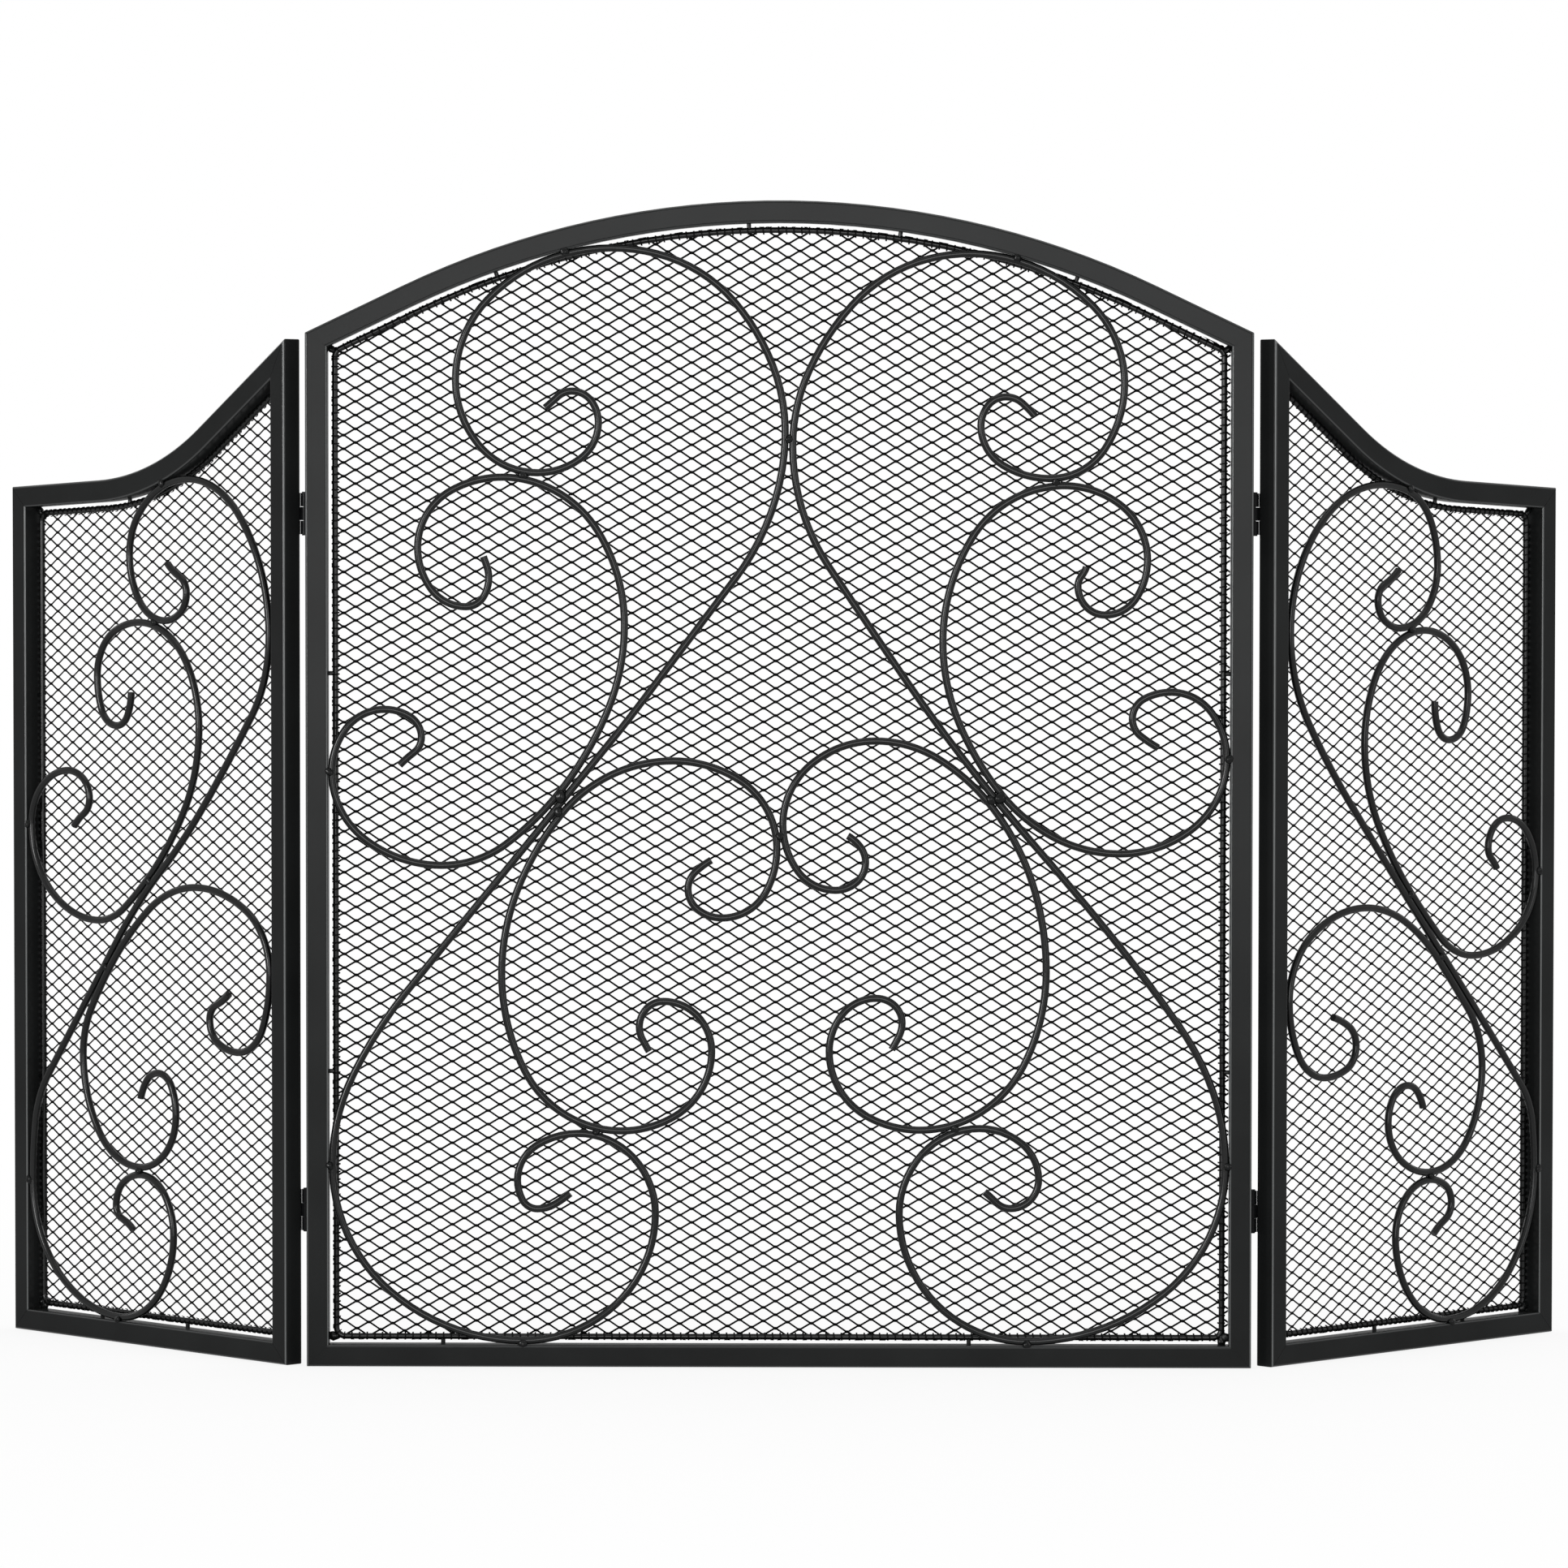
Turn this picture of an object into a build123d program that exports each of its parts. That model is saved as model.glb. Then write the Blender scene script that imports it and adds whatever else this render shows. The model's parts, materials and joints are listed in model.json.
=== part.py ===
from build123d import *
import os
from dataclasses import dataclass
from math import atan, atan2, cos, degrees, radians, sin, sqrt, tan

# Three-panel folding fireplace screen in welded steel, in millimetres.
# The origin is on the floor under the middle of the centre panel, halfway through its tubes.
# X runs to the right, Y to the back and Z up. The front faces -Y and the side panels fold back.

# Centre panel, measured over its tubes
centre_width = 640
corner_height = 700
crown_height = 789
arch_straight = 72

# Side panels, measured over their tubes
side_width = 298
hinge_side_height = 696
outer_side_height = 597
sweep_bend_out = 142
sweep_bend_rise = 7
sweep_radius = 220

# How the side panels stand to the centre panel
fold_angle = 45
panel_gap = 2

# Square frame tubes
tube_size = 15
tube_wall = 1
tube_corner = 1.8
mitre_seam = 0.2

# Wire frame behind the middle of the tubes, and the nubs that hold it
wire_diameter = 4
wire_gap = 2.5
wire_slope_gap = 0.3
wire_bend = 6
wire_setback = 4.5
nub_diameter = 3

# Mesh sheet, with larger diamonds than the real one
mesh_thickness = 1.2
mesh_strand = 3
mesh_long = 72
mesh_short = 44

# Scroll rods in front of the middle of the tubes, and the weld dabs on them
rod_diameter = 5
rod_advance = 4
rod_gap = 0.2
weld_diameter = 1.8

# Hinges on the backs of the posts, with their middles at two heights
hinge_height = 28
upper_hinge_height = 578
lower_hinge_height = 105
leaf_reach = 12
leaf_thickness = 1.2
leaf_clearance = 0.4
barrel_diameter = 7
knuckle_gap = 0.3
pin_diameter = 3
pin_clearance = 0.05
pin_head_diameter = 5
pin_head_thickness = 0.8

# Sizes worked out from those above
rod_radius = rod_diameter / 2
rod_spacing = rod_diameter + rod_gap
weld_radius = weld_diameter / 2
half_width = centre_width / 2
arch_angle = 2 * atan((crown_height - corner_height) / (half_width + arch_straight))
arch_radius = (half_width - arch_straight * cos(arch_angle)) / sin(arch_angle)
arch_apex = corner_height + half_width * tan(arch_angle)
rod_margin = tube_size + rod_radius
wire_margin = tube_size + wire_gap + wire_diameter / 2
mesh_margin = tube_size + wire_gap + wire_diameter
pivot_out = half_width + panel_gap / 2
pivot_back = tube_size / 2 + barrel_diameter / 2
barrel_radius = barrel_diameter / 2
fold = radians(fold_angle)

LEFT, RIGHT = -1, 1
ON_SEAT = (Align.CENTER, Align.CENTER, Align.MIN)


def inset(corners, distance, lifts=(0,) * 5):
    """Corners of a closed outline after each side moves inwards, less the side's own lift."""
    runs = [end - start for start, end in zip(corners, corners[1:] + corners[:1])]
    sides = [
        (Vector(-run.Y, run.X).normalized(), distance - lift) for run, lift in zip(runs, lifts)
    ]
    moved = []
    for corner, (one, near), (two, far) in zip(corners, sides[-1:] + sides[:-1], sides):
        lean = one.dot(two)
        shift = one * (near - far * lean) + two * (far - near * lean)
        moved.append(corner + shift / (1 - lean**2))
    return moved


@dataclass
class Panel:
    """Outline of a panel from its lower inner corner, counterclockwise, and its scroll grid."""

    outline: list
    wire_lifts: list
    bend_radius: float
    bend_sign: int
    grid_start: float
    grid_width: float
    grid_height: float

    def closed_line(self, distance, corner_radius):
        """Line of the wire or mesh inside the outline, with its bend and rounded corners."""
        radii = [corner_radius] * len(self.outline)
        radii[3] = self.bend_radius - self.bend_sign * distance
        points = [(point.X, point.Y) for point in inset(self.outline, distance, self.wire_lifts)]
        return FilletPolyline(*points, radius=radii, close=True)

    def bend(self):
        """Middle of the top rail's bend, and the directions from there to its outer and inner end."""
        one, corner, two = self.outline[2:5]
        to_one = (one - corner).normalized()
        to_two = (two - corner).normalized()
        half_turn = radians(to_one.get_angle(to_two) / 2)
        centre = corner + (to_one + to_two).normalized() * (self.bend_radius / sin(half_turn))
        reach = self.bend_radius / tan(half_turn)
        return centre, corner + to_one * reach - centre, corner + to_two * reach - centre

    def on_bend(self, share, distance):
        """Point at a share of the bend moved inwards, from its outer end, and the way inwards."""
        centre, to_outer, to_inner = self.bend()
        turn = to_outer.get_signed_angle(to_inner, Vector(0, 0, 1))
        outwards = to_outer.rotate(Axis.Z, turn * share).normalized()
        radius = self.bend_radius - self.bend_sign * distance
        return centre + outwards * radius, outwards * -self.bend_sign

    def under_rail(self, across, distance):
        """Height and heading, towards the inner side, of the top rail's bend moved inwards."""
        centre = self.bend()[0]
        radius = self.bend_radius - self.bend_sign * distance
        beside = across - centre.X
        above = self.bend_sign * sqrt(radius**2 - beside**2)
        heading = degrees(atan2(beside * self.bend_sign, -above * self.bend_sign))
        return centre.Y + above, heading

    def spot(self, out, up):
        """Point at a percentage of the way that a rod can go outwards and upwards."""
        across = self.grid_start + self.grid_width * out / 100
        return Vector(across, rod_margin + self.grid_height * up / 100)

    def station(self, out, up, heading):
        """Point and direction of a rod, with UNDER_RAIL for one that touches the top rail."""
        point = self.spot(out, 0)
        if up == UNDER_RAIL:
            height, heading = self.under_rail(point.X, rod_margin)
            point = Vector(point.X, height)
        else:
            point = self.spot(out, up)
        return point, Vector(1, 0).rotate(Axis.Z, heading)


centre_panel = Panel(
    outline=[
        Vector(-half_width, 0),
        Vector(half_width, 0),
        Vector(half_width, corner_height),
        Vector(0, arch_apex),
        Vector(-half_width, corner_height),
    ],
    wire_lifts=[0, 0, 0, 0, 0],
    bend_radius=arch_radius,
    bend_sign=1,
    grid_start=0,
    grid_width=half_width - rod_margin,
    grid_height=crown_height - 2 * rod_margin,
)

side_panel = Panel(
    outline=[
        Vector(0, 0),
        Vector(side_width, 0),
        Vector(side_width, outer_side_height),
        Vector(sweep_bend_out, outer_side_height + sweep_bend_rise),
        Vector(0, hinge_side_height),
    ],
    wire_lifts=[0, 0, 0, wire_gap - wire_slope_gap, 0],
    bend_radius=sweep_radius,
    bend_sign=-1,
    grid_start=rod_margin,
    grid_width=side_width - 2 * rod_margin,
    grid_height=outer_side_height - 2 * rod_margin,
)


def centre_plane(side):
    """Middle plane of the centre panel, with its first axis outwards to one side."""
    return Plane(origin=(0, 0, 0), x_dir=(side, 0, 0), z_dir=(0, -side, 0))


def side_plane(side):
    """Middle plane of a side panel, with its first axis outwards from its hinge end."""
    out = pivot_out + panel_gap / 2 * cos(fold) + pivot_back * sin(fold)
    back = pivot_back + panel_gap / 2 * sin(fold) - pivot_back * cos(fold)
    return Plane(
        origin=(side * out, back, 0),
        x_dir=(side * cos(fold), sin(fold), 0),
        z_dir=(sin(fold), -side * cos(fold), 0),
    )


def forward(plane, side, distance):
    """Plane moved towards the front of its panel."""
    return plane.offset(side * distance)


def along(plane, direction):
    """Direction in space of a flat direction in a plane."""
    return plane.x_dir * direction.X + plane.y_dir * direction.Y


def save(piece, name):
    """Label a finished piece and write its file."""
    piece.part.label = name
    export_step(piece.part, f"parts/{name}.step")
    return piece.part


def mitre(plane, outline, corner, run):
    """Cutting plane half a seam from a corner of an outline, which faces along the tube's run."""
    slope = (inset(outline, 1)[corner] - outline[corner]).normalized()
    facing = along(plane, run - slope * run.dot(slope))
    tip = plane.from_local_coords(outline[corner])
    return Plane(origin=tip, z_dir=facing).offset(mitre_seam / 2)


def frame_tube(name, plane, panel, stops, bend_radius=0):
    """Square tube between two corners of a panel, mitred at both ends."""
    middle_line = inset(panel.outline, tube_size / 2)
    points = [middle_line[stop] for stop in stops]
    first_run = (points[1] - points[0]).normalized()
    last_run = (points[-2] - points[-1]).normalized()
    points[0] -= first_run * tube_size
    points[-1] -= last_run * tube_size
    bore_size = tube_size - 2 * tube_wall
    bore_corner = max(tube_corner - tube_wall, tube_wall / 4)
    with BuildPart() as tube:
        with BuildLine(plane) as path:
            if bend_radius:
                FilletPolyline(*[(point.X, point.Y) for point in points], radius=bend_radius)
            else:
                Line(*[(point.X, point.Y) for point in points])
        with BuildSketch(Plane(path.line @ 0, x_dir=plane.z_dir, z_dir=path.line % 0)):
            RectangleRounded(tube_size, tube_size, tube_corner)
            RectangleRounded(bore_size, bore_size, bore_corner, mode=Mode.SUBTRACT)
        sweep(path=path.line)
        split(bisect_by=mitre(plane, panel.outline, stops[0], first_run))
        split(bisect_by=mitre(plane, panel.outline, stops[-1], last_run))
    return save(tube, name)


def frame_tubes(plane, panel, names):
    """Bottom rail, outer post, bent top rail and inner post of a panel."""
    bottom, outer, top, inner = names
    bend = panel.bend_radius - panel.bend_sign * tube_size / 2
    return [
        frame_tube(bottom, plane, panel, [0, 1]),
        frame_tube(outer, plane, panel, [1, 2]),
        frame_tube(top, plane, panel, [2, 3, 4], bend),
        frame_tube(inner, plane, panel, [4, 0]),
    ]


def wire_frame(name, plane, panel):
    """One bent wire that runs round inside the tubes."""
    with BuildPart() as wire:
        with BuildLine(plane) as path:
            panel.closed_line(wire_margin, wire_bend)
        with BuildSketch(Plane(path.line @ 0, z_dir=path.line % 0)):
            Circle(wire_diameter / 2)
        sweep(path=path.line)
    return save(wire, name)


def mesh_spots(panel):
    """Middles of the diamonds, in staggered rows over the whole outline."""
    lows = [min(point.X for point in panel.outline), 0]
    columns = int((max(point.X for point in panel.outline) - lows[0]) / mesh_long) + 1
    rows = int(2 * max(point.Y for point in panel.outline) / mesh_short) + 1
    spots = []
    for row in range(rows):
        stagger = row % 2 / 2
        for column in range(columns + 1):
            spots.append((lows[0] + (column + stagger) * mesh_long, row * mesh_short / 2))
    return spots


def mesh_gaps(panel, field):
    """Outlines of the diamonds whose middles are in a field, cut to fit it."""
    long_half = mesh_long / 2 - mesh_strand
    short_half = (mesh_short - mesh_strand) / 2
    gaps = []
    for across, height in mesh_spots(panel):
        if not field.is_inside((across, height)):
            continue
        tips = [
            (across - long_half, height),
            (across, height - short_half),
            (across + long_half, height),
            (across, height + short_half),
        ]
        gap = Face(Wire.make_polygon(tips))
        if not all(field.is_inside(tip) for tip in tips):
            gap = (field & gap).face()
        gaps.append(gap.outer_wire())
    return gaps


def mesh_sheet(name, plane, panel):
    """Flat net of diamonds with a plain border, which fits inside the wire frame."""
    edge_corner = wire_bend - wire_diameter / 2
    with BuildSketch() as field:
        with BuildLine():
            panel.closed_line(mesh_margin + mesh_strand, edge_corner)
        make_face()
    gaps = mesh_gaps(panel, field.face())
    with BuildPart() as sheet:
        with BuildSketch(plane.offset(-mesh_thickness / 2)):
            with BuildLine():
                panel.closed_line(mesh_margin, edge_corner)
            plain = make_face(mode=Mode.PRIVATE).face()
            add(plain.make_holes(gaps))
        extrude(amount=mesh_thickness)
    return save(sheet, name)


def scroll_line(stations):
    """Two arcs from each station to the next, which leave and arrive along their directions."""
    for (start, leave), (end, arrive) in zip(stations, stations[1:]):
        gap = end - start
        turn = 2 * (1 - leave.dot(arrive))
        lean = 2 * gap.dot(leave + arrive)
        if turn < 1e-9:
            reach = gap.dot(gap) / lean
        else:
            reach = (sqrt(lean**2 + 4 * turn * gap.dot(gap)) - lean) / (2 * turn)
        first_corner = start + leave * reach
        last_corner = end - arrive * reach
        joint = (first_corner + last_corner) / 2
        scroll_arc(start, first_corner, joint)
        scroll_arc(joint, last_corner, end)


def scroll_arc(start, corner, end):
    """Arc between two points, tangent to the lines from both to a corner."""
    chord = (start + end) / 2
    towards = corner - chord
    leg = (corner - start).length
    half_chord = (end - start).length / 2
    rise = half_chord * towards.length / (leg + half_chord)
    middle = chord + towards.normalized() * rise
    ThreePointArc((start.X, start.Y), (middle.X, middle.Y), (end.X, end.Y))


def nearest(plane, line, point):
    """Flat point of a bent rod's line that is nearest to a flat point."""
    spot = Vertex(plane.from_local_coords(point))
    return plane.to_local_coords(line.distance_to_with_closest_points(spot)[1])


def rod_stop(plane, panel, lines, out, up, heading, touched=None):
    """Point and direction of a rod at a stop, beside the other rod if it touches one there."""
    point, direction = panel.station(out, up, heading)
    if touched is None:
        return point, direction
    other = nearest(plane, lines[touched], point)
    away = (point - other).normalized()
    beside = away.rotate(Axis.Z, 90)
    if beside.dot(direction) < 0:
        beside = -beside
    return other + away * rod_spacing, beside


def scroll_rod(name, plane, panel, lines, route):
    """Round rod bent along a route of stops, made round the line that it returns."""
    with BuildPart() as rod:
        with BuildLine(plane) as path:
            scroll_line([rod_stop(plane, panel, lines, *stop) for stop in route])
        with BuildSketch(Plane(path.line @ 0, z_dir=path.line % 0)):
            Circle(rod_radius)
        sweep(path=path.line)
    save(rod, name)
    return path.wire()


# Directions along a route, in degrees from outwards, and the mark for a touch on the top rail
OUT, UP, IN, DOWN = 0, 90, 180, 270
UNDER_RAIL = "under rail"

# Scroll routes: percent outwards, percent upwards and direction, from curl to curl, and the rod
# that is touched there. The right half of the centre panel is bent first.
centre_routes = {
    LEFT: {
        "main": [
            (52.2, 83.8, 140),
            (46.2, 85.3, IN),
            (40.3, 82.5, DOWN),
            (53.9, 78.0, OUT),
            (72.2, 86.3, UP),
            (47.7, UNDER_RAIL, IN),
            (10.0, 93.3, 229),
            (-1.4, 81.0, DOWN, "other main"),
            (30.6, 57.5, 307),
            (47.2, 49.2, 309),
            (83.6, 31.3, 309),
            (100, 15.8, DOWN),
            (57.3, 0, IN),
            (27.6, 11.5, UP),
            (44.9, 18.7, OUT),
            (58.5, 14.5, DOWN),
            (54.0, 11.9, IN),
            (46.7, 13.3, 140),
        ],
        "upper": [
            (66.0, 70.5, 250),
            (64.8, 68.6, DOWN),
            (69.9, 66.0, OUT),
            (80.7, 71.3, UP),
            (57.4, 77.4, IN, "main"),
            (34.5, 64.4, DOWN),
            (49.4, 49.2, 309, "main"),
            (75.4, 42.8, OUT),
            (100, 51.2, UP),
            (88.1, 56.8, IN),
            (79.9, 54.3, DOWN),
            (84.8, 51.8, 315),
        ],
        "lower": [
            (15.1, 43.3, 330),
            (20.3, 40.7, DOWN),
            (12.7, 38.1, IN),
            (0.7, 45.4, UP, "other lower"),
            (23.6, 52.2, OUT),
            (48.6, 47.4, 309, "main"),
            (62.0, 33.0, DOWN),
            (40.6, 19.2, IN, "main"),
            (15.0, 26.1, UP),
            (25.8, 30.6, OUT),
            (31.2, 28.3, DOWN),
            (29.0, 26.1, 240),
        ],
    },
    RIGHT: {
        "main": [
            (57.0, 83.1, 130),
            (50.6, 84.8, IN),
            (45.0, 82.2, DOWN),
            (60.4, 77.5, OUT),
            (77.0, 86.0, UP),
            (52.9, UNDER_RAIL, IN),
            (16.3, 93.0, 228),
            (3.05, 80.4, DOWN),
            (28.1, 59.6, 304.5),
            (48.4, 48.8, 309.5),
            (69.0, 39.1, 310),
            (89.6, 28.4, 305),
            (100, 15.8, DOWN),
            (55.6, 0, IN),
            (27.0, 11.5, UP),
            (45.0, 19.2, OUT),
            (58.2, 14.6, DOWN),
            (51.9, 12.0, IN),
            (46.1, 13.5, 140),
        ],
        "upper": [
            (68.6, 69.6, 250),
            (66.7, 67.9, DOWN),
            (72.8, 65.3, OUT),
            (82.2, 70.2, UP),
            (61.8, 76.8, IN, "main"),
            (36.6, 62.9, DOWN),
            (50.3, 49.2, 310, "main"),
            (76.2, 43.9, OUT),
            (100, 52.4, UP),
            (87.5, 58.4, IN),
            (78.9, 56.0, DOWN),
            (84.7, 53.4, 330),
        ],
        "lower": [
            (15.4, 45.5, 330),
            (19.4, 43.1, DOWN),
            (12.7, 40.6, IN),
            (0.9, 46.5, UP),
            (21.6, 54.0, OUT),
            (46.8, 48.5, 309, "main"),
            (59.8, 33.3, DOWN),
            (39.2, 19.5, IN, "main"),
            (11.3, 26.1, UP),
            (21.8, 30.9, OUT),
            (27.6, 28.7, DOWN),
            (25.3, 26.3, 240),
        ],
    },
}

side_routes = {
    LEFT: {
        "main": [
            (42.1, 93.6, 225),
            (34.4, 90.0, DOWN),
            (43.5, 86.6, OUT),
            (58.0, 94.6, UP),
            (43.3, UNDER_RAIL, IN),
            (0.9, 84.9, DOWN),
            (22.4, 66.8, 310),
            (37.0, 59.3, 316),
            (54.5, 51.7, 314),
            (75.5, 39.8, 309),
            (92.9, 29.6, 309),
            (100, 15.9, DOWN),
            (62.8, 0, IN),
            (40.4, 10.9, UP),
            (53.7, 18.0, OUT),
            (64.4, 13.9, DOWN),
            (57.3, 11.1, 220),
        ],
        "upper": [
            (57.4, 77.7, 272),
            (63.6, 73.5, OUT),
            (71.7, 79.6, UP),
            (47.6, 85.9, IN, "main"),
            (29.4, 73.6, DOWN),
            (50.5, 54.8, 317, "main"),
            (72.3, 49.2, OUT),
            (100, 60.8, UP),
            (84.1, 67.7, IN),
            (75.2, 64.3, DOWN),
            (81.7, 60.8, 310),
        ],
        "lower": [
            (17.5, 41.2, 320),
            (25.3, 37.9, DOWN),
            (14.1, 34.2, IN),
            (0.9, 43.9, UP),
            (30.2, 54.0, OUT),
            (67.3, 43.1, 308, "main"),
            (78.2, 32.4, DOWN),
            (54.2, 18.9, IN, "main"),
            (39.3, 25.8, UP),
            (46.6, 30.8, OUT),
            (53.9, 27.5, 285),
        ],
    },
    RIGHT: {
        "main": [
            (43.3, 92.9, 225),
            (35.2, 89.2, DOWN),
            (44.1, 85.8, OUT),
            (59.1, 93.4, UP),
            (46.9, UNDER_RAIL, IN),
            (0.9, 85.5, DOWN),
            (24.2, 64.7, 311.5),
            (94.2, 28.5, 311.5),
            (100, 17.7, DOWN),
            (65.1, 0, IN),
            (43.2, 10.9, UP),
            (56.9, 17.6, OUT),
            (65.8, 14.5, DOWN),
            (58.5, 10.8, 225),
        ],
        "upper": [
            (58.2, 76.7, 268),
            (64.2, 71.9, OUT),
            (71.7, 77.6, UP),
            (48.5, 85.1, IN, "main"),
            (30.1, 71.8, DOWN),
            (48.8, 53.3, 312, "main"),
            (74.8, 45.0, OUT),
            (100, 55.1, UP),
            (87.9, 61.9, IN),
            (80.3, 58.3, DOWN),
            (83.8, 55.7, 300),
        ],
        "lower": [
            (18.0, 38.6, 345),
            (27.2, 34.9, DOWN),
            (15.4, 31.3, IN),
            (0.9, 40.8, UP),
            (30.0, 51.7, OUT),
            (60.1, 44.7, 312, "main"),
            (78.2, 31.0, DOWN),
            (56.9, 18.5, IN, "main"),
            (40.1, 25.1, UP),
            (47.7, 29.5, OUT),
            (54.1, 26.6, 285),
        ],
    },
}

def rod_weld_spots(plane, panel, front, lines, routes):
    """Middles of the dabs that lie in front of where the rods touch each other."""
    ahead = sqrt((rod_radius + weld_radius) ** 2 - (rod_spacing / 2) ** 2)
    found = []
    for stop in [stop for route in routes for stop in route if len(stop) > 3]:
        point, direction = rod_stop(plane, panel, lines, *stop)
        between = (point + nearest(plane, lines[stop[3]], point)) / 2
        found.append(plane.from_local_coords(between) + front * ahead)
    return found


def tube_weld_spots(plane, panel, front, routes):
    """Middles of the dabs that lie in front of where the rods touch the frame tubes."""
    ahead = sqrt((rod_radius + weld_radius) ** 2 - (rod_radius - weld_radius) ** 2)
    found = []
    for out, up, heading in [stop[:3] for route in routes for stop in route]:
        point, direction = panel.station(out, up, heading)
        if up == UNDER_RAIL:
            towards = direction.rotate(Axis.Z, -90)
        elif up == 0:
            towards = Vector(0, -1)
        elif out == 100:
            towards = Vector(1, 0)
        else:
            continue
        beside = plane.from_local_coords(point + towards * (rod_radius - weld_radius))
        found.append(beside + front * ahead)
    return found


def scroll_welds(name, spots):
    """Dabs of weld metal in the notches between rods, and between rods and tubes."""
    with BuildPart() as dabs:
        with Locations(*spots):
            Sphere(weld_radius)
    return save(dabs, name)


# Nubs between wire frame and tubes: heights on both posts, places on the bottom rail, and
# shares of the way along the top rail's bend
centre_nubs = ([200, 470], [-228, 129], [0.1, 0.34, 0.54, 0.88])
side_nubs = ([180, 450], [119, 213], [0.17])


def nub_seats(panel, heights, low_places, bend_shares):
    """Foot on a tube, and direction towards the wire, of every nub of a panel."""
    low_inner, low_outer = inset(panel.outline, tube_size)[:2]
    seats = [(Vector(low_inner.X, height), Vector(1, 0)) for height in heights]
    seats += [(Vector(low_outer.X, height), Vector(-1, 0)) for height in heights]
    seats += [(Vector(place, low_inner.Y), Vector(0, 1)) for place in low_places]
    seats += [panel.on_bend(share, tube_size) for share in bend_shares]
    return seats


def wire_nubs(name, plane, seats, wire):
    """Short welds that hold the wire frame inside the tubes."""
    reach = wire_gap + wire_diameter / 2
    with BuildPart() as nubs:
        for foot, inwards in seats:
            with Locations(Plane(plane.from_local_coords(foot), z_dir=along(plane, inwards))):
                Cylinder(nub_diameter / 2, reach, align=ON_SEAT)
        add(wire, mode=Mode.SUBTRACT)
    return save(nubs, name)


def hinge_leaf(name, plane, front, knuckles):
    """Leaf that lies on the back of a post, with its share of the three knuckles."""
    relief = barrel_radius + leaf_clearance
    reach = panel_gap / 2 + leaf_reach
    knuckle_height = hinge_height / 3
    leaf_middle = front * (barrel_radius - leaf_thickness / 2)
    with BuildPart() as leaf:
        with BuildSketch(plane):
            with Locations(((relief + reach) / 2, leaf_middle)):
                Rectangle(reach - relief, leaf_thickness)
        extrude(amount=hinge_height)
        for knuckle in knuckles:
            low = knuckle * knuckle_height + (knuckle_gap / 2 if knuckle else 0)
            high = (knuckle + 1) * knuckle_height - (knuckle_gap / 2 if knuckle < 2 else 0)
            with BuildSketch(plane.offset(low)):
                Circle(barrel_radius)
                with Locations((relief / 2, leaf_middle)):
                    Rectangle(relief, leaf_thickness)
                Circle(pin_diameter / 2 + pin_clearance, mode=Mode.SUBTRACT)
            extrude(amount=high - low)
    return save(leaf, name)


def hinge_pin(name, plane):
    """Pin through the three knuckles, with a head at each end."""
    with BuildPart() as pin:
        with BuildSketch(plane):
            Circle(pin_diameter / 2)
        extrude(amount=hinge_height)
        with BuildSketch(plane, plane.offset(hinge_height + pin_head_thickness)):
            Circle(pin_head_diameter / 2)
        extrude(amount=-pin_head_thickness)
    return save(pin, name)


def hinge(name, side, height):
    """Leaf on the centre panel, leaf on the side panel, and pin."""
    foot = (side * pivot_out, pivot_back, height - hinge_height / 2)
    inwards = Plane(foot, x_dir=(-side, 0, 0))
    outwards = Plane(foot, x_dir=(side * cos(fold), sin(fold), 0))
    hinge_leaf(f"{name}_centre_leaf", inwards, side, [0, 2])
    hinge_leaf(f"{name}_side_leaf", outwards, -side, [1])
    hinge_pin(f"{name}_pin", inwards)


os.makedirs("parts", exist_ok=True)
side_names = {LEFT: "left", RIGHT: "right"}

# Centre panel
front_view = centre_plane(RIGHT)
wire_view = forward(front_view, RIGHT, -wire_setback)
frame_tubes(
    front_view,
    centre_panel,
    ["centre_bottom_rail", "centre_right_post", "centre_arch_rail", "centre_left_post"],
)
wire = wire_frame("centre_wire_frame", wire_view, centre_panel)
mesh_sheet("centre_mesh", wire_view, centre_panel)
wire_nubs(
    "centre_wire_nubs",
    wire_view,
    nub_seats(centre_panel, *centre_nubs),
    wire,
)
rod_lines = {}
weld_spots = []
for side in (RIGHT, LEFT):
    rod_view = forward(centre_plane(side), side, rod_advance)
    front = rod_view.z_dir * side
    routes = centre_routes[side]
    for place, route in routes.items():
        name = f"centre_{side_names[side]}_{place}_scroll"
        rod_lines[place] = scroll_rod(name, rod_view, centre_panel, rod_lines, route)
    weld_spots += tube_weld_spots(rod_view, centre_panel, front, routes.values())
    weld_spots += rod_weld_spots(rod_view, centre_panel, front, rod_lines, routes.values())
    rod_lines = {f"other {place}": line for place, line in rod_lines.items()}
scroll_welds("centre_scroll_welds", weld_spots)

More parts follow.
